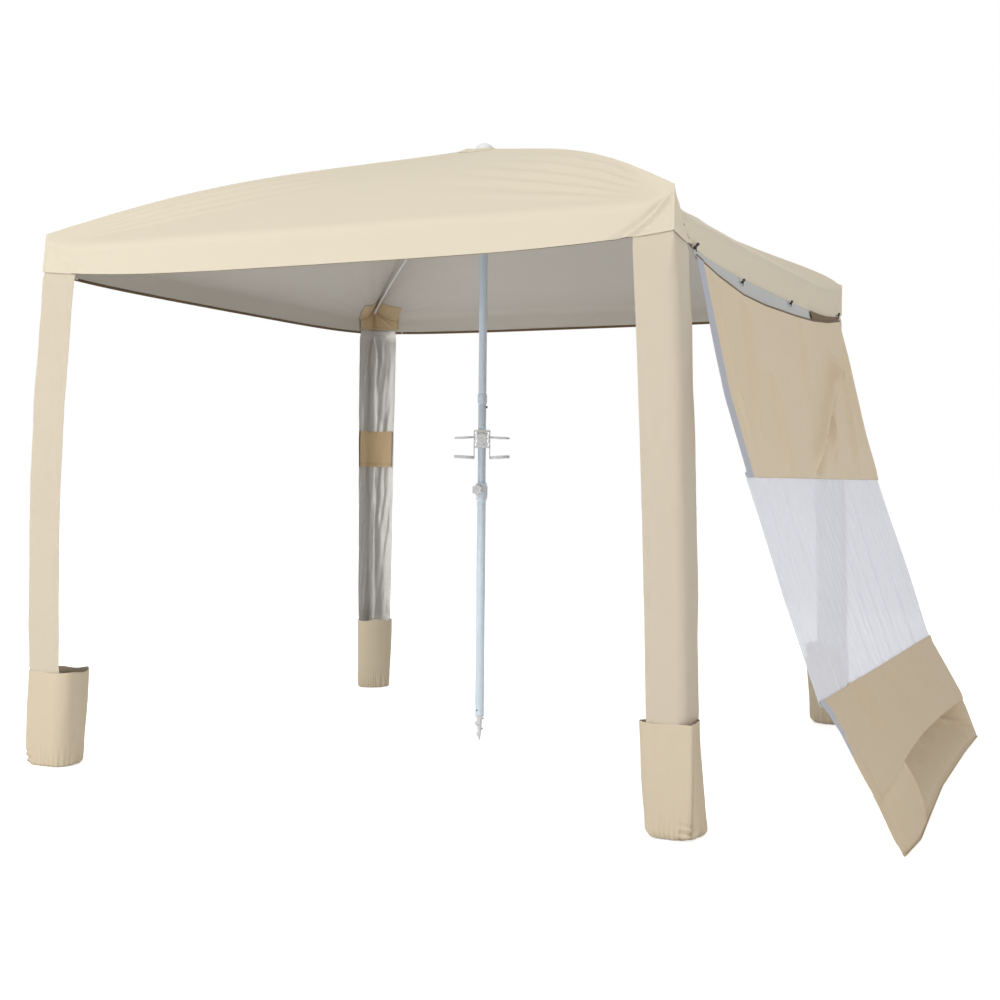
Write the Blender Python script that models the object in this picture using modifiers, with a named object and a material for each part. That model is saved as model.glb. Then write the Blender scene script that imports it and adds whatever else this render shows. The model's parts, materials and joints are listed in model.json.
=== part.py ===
"""Beach tent: a square umbrella canopy on a sectional pole, four fabric legs with sand pockets
and one sloping side wall. Metres, +Z up. The origin is the tip of the sand anchor on the ground,
+X is the side with the wall, -Y is the front."""

import math

import bmesh
import bpy
from mathutils import Matrix, Vector

# Fits
CLEARANCE = 0.0003
SLIDE_CLEARANCE = 0.0005
CUT_OVERRUN = 0.004
MERGE_DISTANCE = 0.00002

# Canopy
CANOPY_HALF = 1.0
CLOTH = 0.0012
APEX_Z = 1.9945
CORNER_DROP = 0.3735
RIDGE_BOW = 0.048
MID_EDGE_DROP = 0.042
CROWN_HALF = 0.042
CROWN_HOLE_HALF = 0.021
VALANCE_DROP = 0.111
VALANCE_SAG_FRONT = 0.031
VALANCE_SAG_RIGHT = 0.052
VALANCE_SAG_LEFT = 0.020
VALANCE_SAG_BACK = 0.012
CANOPY_ROW_SHARES = (0.0, 0.05, 0.1, 0.16, 0.27, 0.4, 0.53, 0.66, 0.78, 0.88, 0.945, 1.0)
CANOPY_COLUMN_SHARES = (0.0, 0.25, 0.48, 0.66, 0.79, 0.88, 0.945, 1.0)
VALANCE_ROW_SHARES = (0.34, 0.67, 1.0)

# Corner patch inside the canopy, where a rib tip pushes
PATCH_ROW_COUNT = 2
PATCH_COLUMN_COUNT = 3
PATCH_CLOTH = 0.0012
PATCH_INSET = 0.0036
PATCH_HEM_RISE = 0.004

# Fabric legs
LEG_WIDTH_TOP = 0.120
LEG_WIDTH_FOOT = 0.116
FOOT_SPLAY_FRONT = 0.058
FOOT_SPLAY_BACK = 0.045
FOOT_BACK_SHIFT = 0.020
BAND_TOP_Z = 1.090
BAND_FOOT_Z = 0.938
BAND_CLOTH = 0.001

# Sand pockets
POCKET_TOP_Z = 0.290
POCKET_WIDTH = 0.130
POCKET_WALL = 0.004
POCKET_INNER_ROUND = 0.075
POCKET_EDGE_ROUND = 0.012
POCKET_BASE_ROUND = 0.022
POCKET_BASE_STEPS = 2
POCKET_PUCKER = 0.0022
POCKET_PUCKER_TOP = 0.085
POCKET_PUCKERS = 6
POCKET_CORNER_STEPS = 4
POCKET_ARC_STEPS = 8
POCKET_MOUTH_BULGE = 0.006

# Pole
POLE_R = 0.0135
TUBE_WALL = 0.0012
LOWER_R = 0.0150
LOWER_BOTTOM_Z = 0.0893
LOWER_TOP_Z = 0.862
MIDDLE_BOTTOM_Z = 0.300
POLE_JOINT_Z = 1.160
POLE_TOP_DROP = 0.0095
PLUG_HALF_LENGTH = 0.085
COLLAR_BOTTOM_Z = 1.144
COLLAR_TOP_Z = 1.178
COLLAR_R = 0.0160
COLLAR_LIP = 0.003
ROUND_STEPS = 24

# Push button of the pole joint, on the side the photograph shows at the right
VIEW_ANGLE = math.radians(24.85)
LOCK_Z = 1.133
LOCK_R = 0.004
LOCK_STAND_OUT = 0.0035
LOCK_INNER_R = 0.0078
LOCK_TRAVEL = 0.003
LOCK_HEAD_R = 0.0055
LOCK_HEAD_THICK = 0.001
SPRING_WIDTH = 0.007
SPRING_THICK = 0.0006
SPRING_LENGTH = 0.030

# Height clamp on top of the lower pole
CLAMP_BOTTOM_Z = 0.8185
CLAMP_TOP_Z = 0.876
CLAMP_R = 0.0185
CLAMP_LIP = 0.002
CLAMP_BOSS_Z = 0.853
CLAMP_BOSS_WIDTH = 0.020
CLAMP_BOSS_HEIGHT = 0.026
CLAMP_BOSS_REACH = 0.027
CLAMP_ANGLE = math.radians(-89.4)
STEM_R = 0.0035
STAR_R = 0.019
STAR_LOBE = 0.0022
STAR_LOBES = 6
STAR_THICK = 0.012
KNOB_GAP = 0.001
KNOB_POINTS_PER_LOBE = 6

# Sand anchor
ANCHOR_TOP_Z = 0.132
ANCHOR_SHOULDER_Z = 0.083
ANCHOR_SHOULDER_R = 0.0150
ANCHOR_CORE_R = 0.0085
ANCHOR_TIP_R = 0.0026
ANCHOR_TIP_RISE = 0.010
FLIGHT_TOP_Z = 0.079
FLIGHT_FOOT_Z = 0.013
FLIGHT_TURNS = 2.25
FLIGHT_R = 0.0172
FLIGHT_THICK = 0.0030
FLIGHT_TAPER_SHARE = 0.55
FLIGHT_STEPS_PER_TURN = 12

# Hub
HUB_R = 0.046
HUB_TOP_DROP = 0.022
HUB_HEIGHT = 0.032
HUB_NECK_R = 0.021
HUB_NECK_DROP = 0.020
HUB_PIVOT_R = 0.035
HUB_PIVOT_RISE = 0.0145
SLOT_WIDTH = 0.0084
SLOT_BOTTOM_R = 0.0245
PIN_R = 0.0016
EYE_R = 0.0068
EYE_WIDTH = 0.0074
EYE_CLEARANCE = 0.0004
WASHER_R = 0.045
WASHER_RIM = 0.004
CAP_R = 0.034
CAP_HEIGHT = 0.029
CAP_RIM = 0.004
CAP_PLUG_LENGTH = 0.022
CAP_DOME_STEPS = 6

# Ribs and struts
ROD_R = 0.004
RIB_BOW = 0.043
RIB_TIP_DROP = 0.021
RIB_POINTS = 15
TIP_BALL_R = 0.0075
TIP_SLEEVE_LENGTH = 0.035
TIP_SLEEVE_R = 0.0062
STRUT_R = 0.0034
STRUT_REACH = 0.36
BRACKET_DROP = 0.0135
BRACKET_WIDTH = 0.0150
BRACKET_LENGTH = 0.026
BRACKET_HEIGHT = 0.024
BRACKET_RISE = 0.0060

# Runner
RUNNER_R = 0.0215
RUNNER_ABOVE = 0.014
RUNNER_BELOW = 0.040
RUNNER_FLANGE_R = 0.0270
RUNNER_EAR_WIDTH = 0.0170
RUNNER_EAR_HALF_HEIGHT = 0.011
RUNNER_EAR_REACH = 0.0440
RELEASE_R = 0.0055
RELEASE_DROP = 0.027
RELEASE_OUT = 0.0045
RELEASE_TRAVEL = 0.003
RELEASE_INNER_GAP = 0.0045
RELEASE_ANGLE = math.radians(-65.0)

# Cup holder
CUP_BLOCK_HALF = 0.0245
CUP_BLOCK_DEPTH_HALF = 0.0205
CUP_BLOCK_BOTTOM_Z = 0.995
CUP_BLOCK_TOP_Z = 1.056
CUP_BLOCK_BEVEL = 0.003
CUP_RING_Z = 1.031
CUP_RING_R = 0.0335
CUP_RING_WIRE = 0.0032
CUP_RING_STEPS = 24
CUP_RING_SIDES = 6
CUP_RING_REACH = 0.0610
CUP_TRAY_Z = 0.967
CUP_TRAY_R = 0.0330
CUP_TRAY_THICK = 0.010
CUP_TRAY_FLOOR = 0.003
CUP_TRAY_WALL = 0.003
CUP_STRAP_THICK = 0.0038
CUP_STRAP_WIDTH = 0.020
CUP_WINDOW_HEIGHT = 0.019
CUP_WINDOW_DEPTH = 0.006
CUP_KNOB_Z = 1.024
CUP_KNOB_R = 0.022
CUP_KNOB_THICK = 0.012
CUP_KNOB_FLUTES = 10
CUP_KNOB_FLUTE = 0.0012

# Side wall, lengths down its slope are given by the height of each seam
WALL_FOOT_REACH = 0.545
WALL_STAND_OFF = 0.0010
WALL_HEM_LOW_DROP = 0.098
WALL_HEM_FRONT_DROP = 0.043
WALL_HEM_BACK_DROP = 0.025
WALL_HEM_LOW_SHARE = 0.20
WALL_FRONT_SHORT = 0.14
WALL_BACK_SHORT = 0.07
FOOT_FLARE_FRONT = 0.040
FOOT_DRAW_BACK = 0.034
WAIST_DRAW_FRONT = 0.025
WAIST_DRAW_BACK = 0.047
NET_FLARE_FRONT = 0.008
NET_DRAW_BACK = 0.068
WALL_UPPER_SEAM_Z = 0.900
WALL_LOWER_SEAM_Z = 0.350
WALL_MOUTH_Z = 0.150
WALL_MOUTH_REACH = 0.475
WALL_SEAM_REACH = 0.350
WALL_NET_REACH = 0.165
WALL_UPPER_REACH = 0.100
WALL_UPPER_RISE = 0.220
WALL_FOLD_SHARE = 0.50
WALL_FOLD_HALF = 0.075
WALL_FOLD_DEPTH = 0.026
SLEEVE_BELLY = 0.036
SLEEVE_BASE = 0.045
SLEEVE_STATIONS = 25
STRIP_THICK = 0.0012
PATCH_STRIP_LENGTH = 0.443
PATCH_STRIP_SHORT = 0.030
PATCH_STRIP_THICK = 0.0015
PATCH_STRIP_MARGIN_SHARE = 0.18
TOGGLE_Y_SHARES = (0.02, 0.255, 0.575, 0.985)
TOGGLE_BEAD_R = 0.0058
TOGGLE_BAR_R = 0.0042
TOGGLE_BAR_LENGTH = 0.036
TOGGLE_STRAP_WIDTH = 0.0050
TOGGLE_STRAP_THICK = 0.0014
TOGGLE_STRAP_DROP = 0.016
TOGGLE_RISE = 0.006

CORNER_TOP_Z = APEX_Z - CORNER_DROP
VALANCE_CORNER_Z = CORNER_TOP_Z - VALANCE_DROP
POLE_TOP_Z = APEX_Z - POLE_TOP_DROP
HUB_TOP_Z = APEX_Z - HUB_TOP_DROP
HUB_BOTTOM_Z = HUB_TOP_Z - HUB_HEIGHT
HUB_PIVOT_Z = HUB_BOTTOM_Z + HUB_PIVOT_RISE
CAP_TOP_Z = APEX_Z + CAP_HEIGHT
RIB_TIP_Z = CORNER_TOP_Z - RIB_TIP_DROP
WALL_TOP_X = CANOPY_HALF + CLOTH + WALL_STAND_OFF
WALL_FOOT_X = CANOPY_HALF + WALL_FOOT_REACH
WALL_MOUTH_X = CANOPY_HALF + WALL_MOUTH_REACH
WALL_SEAM_X = CANOPY_HALF + WALL_SEAM_REACH
WALL_NET_X = CANOPY_HALF + WALL_NET_REACH
WALL_UPPER_X = CANOPY_HALF + WALL_UPPER_REACH
WALL_UPPER_Z = WALL_UPPER_SEAM_Z + WALL_UPPER_RISE
WALL_HEM_LOW_Z = VALANCE_CORNER_Z - WALL_HEM_LOW_DROP
WALL_HEM_FRONT_Z = VALANCE_CORNER_Z - WALL_HEM_FRONT_DROP
WALL_HEM_BACK_Z = VALANCE_CORNER_Z - WALL_HEM_BACK_DROP
WALL_HEM_LOW_Y = -CANOPY_HALF * WALL_HEM_LOW_SHARE
WALL_FRONT_Y = WALL_FRONT_SHORT - CANOPY_HALF
WALL_BACK_Y = CANOPY_HALF - WALL_BACK_SHORT
WALL_FOLD_Y = -CANOPY_HALF * WALL_FOLD_SHARE
PATCH_STRIP_BACK_Y = WALL_BACK_Y - PATCH_STRIP_SHORT
PATCH_STRIP_FRONT_Y = PATCH_STRIP_BACK_Y - PATCH_STRIP_LENGTH
CORNERS = {"fl": (-1, -1), "fr": (1, -1), "bl": (-1, 1), "br": (1, 1)}


def collection(name):
    """A collection linked to the scene."""
    found = bpy.data.collections.get(name) or bpy.data.collections.new(name)
    if found.name not in bpy.context.scene.collection.children:
        bpy.context.scene.collection.children.link(found)
    return found


def clear_scene():
    """Remove the objects that the scene holds."""
    for item in list(bpy.data.objects):
        bpy.data.objects.remove(item, do_unlink=True)


def material(name, colour, roughness, metallic=0.0):
    """A Principled material in a colour given as 8-bit values."""
    found = bpy.data.materials.new(name)
    found.use_nodes = True
    shader = found.node_tree.nodes["Principled BSDF"]
    linear = [((c / 255) + 0.055) / 1.055 for c in colour]
    shader.inputs["Base Color"].default_value = (*[c ** 2.4 for c in linear], 1.0)
    shader.inputs["Roughness"].default_value = roughness
    shader.inputs["Metallic"].default_value = metallic
    return found


def place(obj, name, look, origin=None, smooth=True):
    """Name an object, give it its material and set its origin to a point of the model."""
    obj.name = name
    obj.data.name = name
    for home in list(obj.users_collection):
        home.objects.unlink(obj)
    MODEL.objects.link(obj)
    obj.data.materials.clear()
    obj.data.materials.append(look)
    if origin is not None:
        shift = Matrix.Translation(Vector(origin) - obj.matrix_world.translation)
        obj.data.transform(obj.matrix_world.to_3x3().to_4x4())
        obj.data.transform(shift.inverted())
        obj.matrix_world = Matrix.Translation(origin)
    if smooth:
        obj.data.shade_smooth()
        obj.data.set_sharp_from_angle(angle=math.radians(35))
    return obj


def mesh_object(name, bm):
    """An object from a bmesh, with its faces turned outward."""
    bmesh.ops.recalc_face_normals(bm, faces=bm.faces)
    mesh = bpy.data.meshes.new(name)
    bm.to_mesh(mesh)
    bm.free()
    obj = bpy.data.objects.new(name, mesh)
    MODEL.objects.link(obj)
    return obj


def box(name, size, centre, angle=0.0):
    """A box turned about the vertical."""
    bm = bmesh.new()
    bmesh.ops.create_cube(bm, size=1.0)
    bmesh.ops.scale(bm, vec=size, verts=bm.verts)
    turn = Matrix.Rotation(angle, 4, "Z")
    bmesh.ops.transform(bm, matrix=turn @ Matrix.Translation(centre), verts=bm.verts)
    return mesh_object(name, bm)


def cylinder(name, radius, length, centre, axis="Z", angle=0.0, end_radius=None, steps=ROUND_STEPS):
    """A cylinder or cone along an axis of the piece, turned about the vertical afterwards."""
    bm = bmesh.new()
    far = radius if end_radius is None else end_radius
    bmesh.ops.create_cone(bm, cap_ends=True, segments=steps, radius1=radius, radius2=far, depth=length)
    turns = {"Z": Matrix(), "X": Matrix.Rotation(math.pi / 2, 4, "Y"), "Y": Matrix.Rotation(math.pi / 2, 4, "X")}
    turn = Matrix.Rotation(angle, 4, "Z")
    bmesh.ops.transform(bm, matrix=turn @ Matrix.Translation(centre) @ turns[axis], verts=bm.verts)
    return mesh_object(name, bm)


def turned(name, profile, steps=ROUND_STEPS):
    """A turned shape from a closed or axis-ended profile of (radius, height), top to bottom."""
    mesh = bpy.data.meshes.new(name)
    closed = profile[0] == profile[-1]
    points = profile[:-1] if closed else profile
    edges = [(i, i + 1) for i in range(len(points) - 1)]
    if closed:
        edges.append((len(points) - 1, 0))
    mesh.from_pydata([(r, 0.0, z) for r, z in points], edges, [])
    obj = bpy.data.objects.new(name, mesh)
    MODEL.objects.link(obj)
    screw = obj.modifiers.new("Turn", "SCREW")
    screw.steps = screw.render_steps = steps
    screw.use_merge_vertices = True
    screw.merge_threshold = MERGE_DISTANCE
    screw.use_normal_calculate = True
    return to_mesh(obj)


def to_mesh(obj, merge=MERGE_DISTANCE):
    """The same shape as a welded mesh with its faces out."""
    graph = bpy.context.evaluated_depsgraph_get()
    mesh = bpy.data.meshes.new_from_object(obj.evaluated_get(graph))
    bm = bmesh.new()
    bm.from_mesh(mesh)
    bmesh.ops.remove_doubles(bm, verts=bm.verts, dist=merge)
    bmesh.ops.recalc_face_normals(bm, faces=bm.faces)
    bm.to_mesh(mesh)
    bm.free()
    made = bpy.data.objects.new(obj.name, mesh)
    made.matrix_world = obj.matrix_world.copy()
    MODEL.objects.link(made)
    bpy.data.objects.remove(obj, do_unlink=True)
    return made


def rod(name, points, radius, resolution=2):
    """A round rod along points."""
    curve = bpy.data.curves.new(name, "CURVE")
    curve.dimensions = "3D"
    spline = curve.splines.new("POLY")
    spline.points.add(len(points) - 1)
    for knot, point in zip(spline.points, points):
        knot.co = (*point, 1.0)
    curve.bevel_depth = radius
    curve.bevel_resolution = resolution
    curve.use_fill_caps = True
    obj = bpy.data.objects.new(name, curve)
    MODEL.objects.link(obj)
    return to_mesh(obj)


def prism(name, outline, thickness, matrix):
    """A flat outline extruded by half the thickness to each side and placed by a matrix."""
    curve = bpy.data.curves.new(name, "CURVE")
    curve.dimensions = "2D"
    curve.fill_mode = "BOTH"
    curve.extrude = thickness / 2
    spline = curve.splines.new("POLY")
    spline.points.add(len(outline) - 1)
    for knot, (x, y) in zip(spline.points, outline):
        knot.co = (x, y, 0.0, 1.0)
    spline.use_cyclic_u = True
    obj = bpy.data.objects.new(name, curve)
    MODEL.objects.link(obj)
    made = to_mesh(obj)
    made.data.transform(matrix)
    return made


def combine(target, others, operation):
    """Join or cut with other pieces, which become hidden guides."""
    for other in others:
        for home in list(other.users_collection):
            home.objects.unlink(other)
        CUTTERS.objects.link(other)
        other.hide_render = True
        other.display_type = "WIRE"
        change = target.modifiers.new(operation.title(), "BOOLEAN")
        change.operation = operation
        change.object = other
    return target


def settle(obj):
    """Work out a piece's modifiers for good and drop the guides that it used."""
    guides = [change.object for change in obj.modifiers if change.type == "BOOLEAN"]
    made = to_mesh(obj, MERGE_DISTANCE / 20)
    for guide in guides:
        bpy.data.objects.remove(guide, do_unlink=True)
    return made


def repeat_round(piece, prefix, look, pivot):
    """Four copies of a piece made over +X, one for each corner, with their origins on the pivot."""
    piece.data.transform(Matrix.Translation(pivot).inverted())
    for tag, (sx, sy) in CORNERS.items():
        copy = bpy.data.objects.new(f"{prefix}_{tag}", piece.data)
        MODEL.objects.link(copy)
        turn = Matrix.Rotation(math.atan2(sy, sx), 4, "Z")
        copy.matrix_world = turn @ Matrix.Translation(pivot)
    piece.data.materials.append(look)
    piece.data.shade_smooth()
    piece.data.set_sharp_from_angle(angle=math.radians(35))
    bpy.data.objects.remove(piece, do_unlink=True)


def bevel(obj, width, segments=2, degrees=40):
    """Round the sharp edges of a piece."""
    change = obj.modifiers.new("Bevel", "BEVEL")
    change.width = width
    change.segments = segments
    change.limit_method = "ANGLE"
    change.angle_limit = math.radians(degrees)
    return obj


def sheet(name, rows, thickness, flip=False, inset=0.0):
    """Cloth over a grid of points, made solid toward its inner side."""
    bm = bmesh.new()
    grid = [[bm.verts.new(p) for p in row] for row in rows]
    for above, below in zip(grid, grid[1:]):
        for i in range(len(above) - 1):
            face = [above[i], above[i + 1], below[i + 1], below[i]]
            bm.faces.new(face[::-1] if flip else face)
    mesh = bpy.data.meshes.new(name)
    bm.to_mesh(mesh)
    bm.free()
    obj = bpy.data.objects.new(name, mesh)
    MODEL.objects.link(obj)
    if inset:
        move = obj.modifiers.new("Inset", "DISPLACE")
        move.mid_level = 0.0
        move.strength = -inset
    solid = obj.modifiers.new("Cloth", "SOLIDIFY")
    solid.thickness = thickness
    solid.offset = -1.0
    solid.use_even_offset = True
    return obj


def tube_profile(outer, inner, bottom, top):
    """The closed profile of a plain tube."""
    return [(outer, top), (outer, bottom), (inner, bottom), (inner, top), (outer, top)]


def ridge_z(share):
    """Height of the ridge over a rib at a share of the way from the crown to the corner."""
    return APEX_Z + (CORNER_TOP_Z - APEX_Z) * share + RIDGE_BOW * 4 * share * (1 - share)


def roof_point(sx, sy, share, across, along_x):
    """A point of the roof: share runs from crown to edge, -1 is the hole; across runs to the ridge."""
    u = CROWN_HALF + (CANOPY_HALF - CROWN_HALF) * share if share >= 0 else CROWN_HOLE_HALF
    rise = max(0.0, share)
    power = 3 + 27 * rise ** 6
    z = ridge_z(rise) - MID_EDGE_DROP * rise * (1 - across ** power)
    small = u * across
    x, y = (small, u) if along_x else (u, small)
    return (sx * max(x, CLEARANCE), sy * max(y, CLEARANCE), z)


def hem_z(sx, sy, place_along, along_x):
    """Height of the valance hem at a place along its side."""
    if along_x:
        sag = VALANCE_SAG_FRONT if sy < 0 else VALANCE_SAG_BACK
    else:
        sag = VALANCE_SAG_RIGHT if sx > 0 else VALANCE_SAG_LEFT
    return VALANCE_CORNER_Z - sag * (1 - (place_along / CANOPY_HALF) ** 4)


def canopy_grid(sx, sy, shares, columns, drops, hem_rise=0.0):
    """Rows of a quarter canopy from mid side over the ridge to the other mid side."""
    rows = []
    for share in shares:
        left = [roof_point(sx, sy, share, c, True) for c in columns]
        right = [roof_point(sx, sy, share, c, False) for c in columns[-2::-1]]
        rows.append(left + right)
    edge = rows[-1]
    half = len(columns)
    for drop in drops:
        row = []
        for i, (x, y, z) in enumerate(edge):
            along_x = i < half
            bottom = hem_z(sx, sy, abs(x) if along_x else abs(y), along_x) + hem_rise
            row.append((x, y, z + (bottom - z) * drop))
        rows.append(row)
    return rows


def build_canopy():
    """Four quarters of roof and valance, each over its rib, and the patches in the corners."""
    patch_shares = CANOPY_ROW_SHARES[-PATCH_ROW_COUNT:]
    patch_columns = CANOPY_COLUMN_SHARES[-PATCH_COLUMN_COUNT:]
    for tag, (sx, sy) in CORNERS.items():
        flip = sx * sy < 0
        rows = canopy_grid(sx, sy, (-1.0, *CANOPY_ROW_SHARES), CANOPY_COLUMN_SHARES, VALANCE_ROW_SHARES)
        quarter = sheet(f"canopy_quarter_{tag}", rows, CLOTH, flip)
        place(quarter, f"canopy_quarter_{tag}", BEIGE, rib_pivot(sx, sy))
        rows = canopy_grid(sx, sy, patch_shares, patch_columns, VALANCE_ROW_SHARES, PATCH_HEM_RISE)
        patch = sheet(f"corner_patch_{tag}", rows, PATCH_CLOTH, flip, PATCH_INSET)
        place(patch, f"corner_patch_{tag}", TAN, rib_pivot(sx, sy))


def rib_pivot(sx, sy):
    """The hub pin of a rib."""
    return (sx * HUB_PIVOT_R / math.sqrt(2), sy * HUB_PIVOT_R / math.sqrt(2), HUB_PIVOT_Z)


def leg_corner(sx, sy, z):
    """The outer corner of a leg at a height."""
    down = (VALANCE_CORNER_Z - z) / VALANCE_CORNER_Z
    splay = FOOT_SPLAY_FRONT if sy < 0 else FOOT_SPLAY_BACK
    shift = 0.0 if sy < 0 else FOOT_BACK_SHIFT
    return Vector((sx * (CANOPY_HALF + splay * down), sy * (CANOPY_HALF + shift * down), z))


def leg_grid(sx, sy, tops, inset=0.0, feet=None):
    """Rows across the two faces of a leg; tops and feet are heights as functions or values."""
    rows = []
    columns = (1.0, 0.5, 0.0, 0.5, 1.0)
    for z_of in tops:
        row = []
        for i, share in enumerate(columns):
            along_x = i < 2
            z = z_of(share * LEG_WIDTH_TOP, along_x) if callable(z_of) else z_of
            down = (VALANCE_CORNER_Z - z) / VALANCE_CORNER_Z
            width = (LEG_WIDTH_TOP + (LEG_WIDTH_FOOT - LEG_WIDTH_TOP) * down) * share
            point = leg_corner(sx, sy, z) - Vector((sx * inset, sy * inset, 0.0))
            step = (-sx * width, 0.0, 0.0) if along_x else (0.0, -sy * width, 0.0)
            row.append(point + Vector(step))
        rows.append(row)
    return rows


def build_legs():
    """Four legs of L section and the bands across their inner sides."""
    for tag, (sx, sy) in CORNERS.items():
        flip = sx * sy < 0

        def top(width, along_x):
            return hem_z(sx, sy, CANOPY_HALF - width, along_x) - CLEARANCE

        foot = POCKET_TOP_Z + CLEARANCE
        count = 8
        levels = [BAND_TOP_Z + (foot - BAND_TOP_Z) * i / (count - 1) for i in range(count)]
        upper = [VALANCE_CORNER_Z + (BAND_TOP_Z - VALANCE_CORNER_Z) * i / 4 for i in range(1, 4)]
        leg = sheet(f"leg_{tag}", leg_grid(sx, sy, [top] + upper + levels), CLOTH, flip)
        place(leg, f"leg_{tag}", BEIGE)
        middle = (BAND_TOP_Z + BAND_FOOT_Z) / 2
        rows = leg_grid(sx, sy, [BAND_TOP_Z, middle, BAND_FOOT_Z], CLOTH + CLEARANCE)
        band = sheet(f"leg_band_{tag}", rows, BAND_CLOTH, flip)
        place(band, f"leg_band_{tag}", TAN)


def pocket_outline(width):
    """Plan of a sand pocket as distances inward from its outer corner, once round."""
    points = [(0.0, 0.0)]
    corners = (((width, 0.0), POCKET_EDGE_ROUND), ((width, width), POCKET_INNER_ROUND),
               ((0.0, width), POCKET_EDGE_ROUND))
    starts = (-math.pi / 2, 0.0, math.pi / 2)
    for ((cx, cy), radius), begin in zip(corners, starts):
        mx = cx - radius if cx else radius
        my = cy - radius if cy else radius
        steps = POCKET_ARC_STEPS if radius == POCKET_INNER_ROUND else POCKET_CORNER_STEPS
        for i in range(steps + 1):
            a = begin + math.pi / 2 * i / steps
            points.append((mx + radius * math.cos(a), my + radius * math.sin(a)))
    return points


def build_pockets():
    """Four open sand pockets with puckered, rounded feet."""
    for tag, (sx, sy) in CORNERS.items():
        rings = []
        levels = [(POCKET_TOP_Z * s, 0.0) for s in (1.0, 0.8, 0.55)]
        levels += [(POCKET_PUCKER_TOP, 0.0), (POCKET_PUCKER_TOP / 2, 0.0)]
        for i in range(POCKET_BASE_STEPS + 1):
            a = math.pi / 2 * i / POCKET_BASE_STEPS
            levels.append((POCKET_BASE_ROUND * (1 - math.sin(a)), POCKET_BASE_ROUND * (1 - math.cos(a))))
        outline = pocket_outline(POCKET_WIDTH)
        middle = POCKET_WIDTH / 2
        for z, draw in levels:
            corner = leg_corner(sx, sy, z)
            ring = []
            for i, (a, b) in enumerate(outline):
                fold = max(0.0, 1 - z / POCKET_PUCKER_TOP)
                wave = math.cos(2 * math.pi * POCKET_PUCKERS * i / len(outline))
                pinch = draw + (POCKET_PUCKER * fold * (1 + wave) / 2 if z > 0 else 0.0)
                swell = math.sin(math.pi * z / POCKET_TOP_Z)
                bulge = POCKET_MOUTH_BULGE * swell * (a + b) / (2 * POCKET_WIDTH)
                away = Vector((a - middle, b - middle))
                away = away.normalized() * (bulge - pinch)
                ring.append((corner.x - sx * (a + away.x), corner.y - sy * (b + away.y), z))
            rings.append(ring)
        bm = bmesh.new()
        grid = [[bm.verts.new(p) for p in ring] for ring in rings]
        count = len(outline)
        for above, below in zip(grid, grid[1:]):
            for i in range(count):
                face = [above[i], below[i], below[(i + 1) % count], above[(i + 1) % count]]
                bm.faces.new(face)
        bm.faces.new(grid[-1])
        bmesh.ops.recalc_face_normals(bm, faces=bm.faces)
        base = max(bm.faces, key=lambda f: len(f.verts))
        if base.normal.z > 0:
            bmesh.ops.reverse_faces(bm, faces=bm.faces)
        mesh = bpy.data.meshes.new(f"sand_pocket_{tag}")
        bm.to_mesh(mesh)
        bm.free()
        pocket = bpy.data.objects.new(f"sand_pocket_{tag}", mesh)
        MODEL.objects.link(pocket)
        solid = pocket.modifiers.new("Cloth", "SOLIDIFY")
        solid.thickness = POCKET_WALL
        solid.offset = -1.0
        solid.use_even_offset = True
        place(pocket, f"sand_pocket_{tag}", SAND)


def build_pole():
    """The three pole sections, their joint and the sand anchor."""
    bore = POLE_R - TUBE_WALL
    upper = turned("upper_pole", tube_profile(POLE_R, bore, POLE_JOINT_Z + CLEARANCE, POLE_TOP_Z))
    place(upper, "upper_pole", POLE_BLUE)
    middle = turned("middle_pole", tube_profile(POLE_R, bore, MIDDLE_BOTTOM_Z, POLE_JOINT_Z - CLEARANCE))
    lock = (POLE_R, 0.0, LOCK_Z)
    hole = cylinder("middle_pole_hole", LOCK_R + CLEARANCE, POLE_R, lock, "X", VIEW_ANGLE, steps=16)
    place(combine(middle, [hole], "DIFFERENCE"), "middle_pole", POLE_BLUE)
    plug_r = bore - CLEARANCE
    low, high = POLE_JOINT_Z - PLUG_HALF_LENGTH, POLE_JOINT_Z + PLUG_HALF_LENGTH
    ends = tube_profile(plug_r, plug_r - TUBE_WALL, low, high)
    plug = turned("joint_plug", ends)
    hole = cylinder("plug_hole", LOCK_R + CLEARANCE, POLE_R, lock, "X", VIEW_ANGLE, steps=16)
    place(combine(plug, [hole], "DIFFERENCE"), "joint_plug", STEEL)
    inner = POLE_R + CLEARANCE
    lip = COLLAR_LIP
    outline = [(COLLAR_R - lip / 2, COLLAR_TOP_Z), (COLLAR_R, COLLAR_TOP_Z - lip),
               (COLLAR_R, COLLAR_BOTTOM_Z + lip), (COLLAR_R - lip / 2, COLLAR_BOTTOM_Z),
               (inner, COLLAR_BOTTOM_Z), (inner, COLLAR_TOP_Z)]
    place(turned("joint_collar", outline + outline[:1]), "joint_collar", WHITE_PLASTIC)
    build_lock(plug_r - TUBE_WALL)
    lower_bore = POLE_R + CLEARANCE
    lower = turned("lower_pole", tube_profile(LOWER_R, lower_bore, LOWER_BOTTOM_Z, LOWER_TOP_Z))
    place(lower, "lower_pole", POLE_BLUE)
    build_anchor(lower_bore - CLEARANCE)


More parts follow.
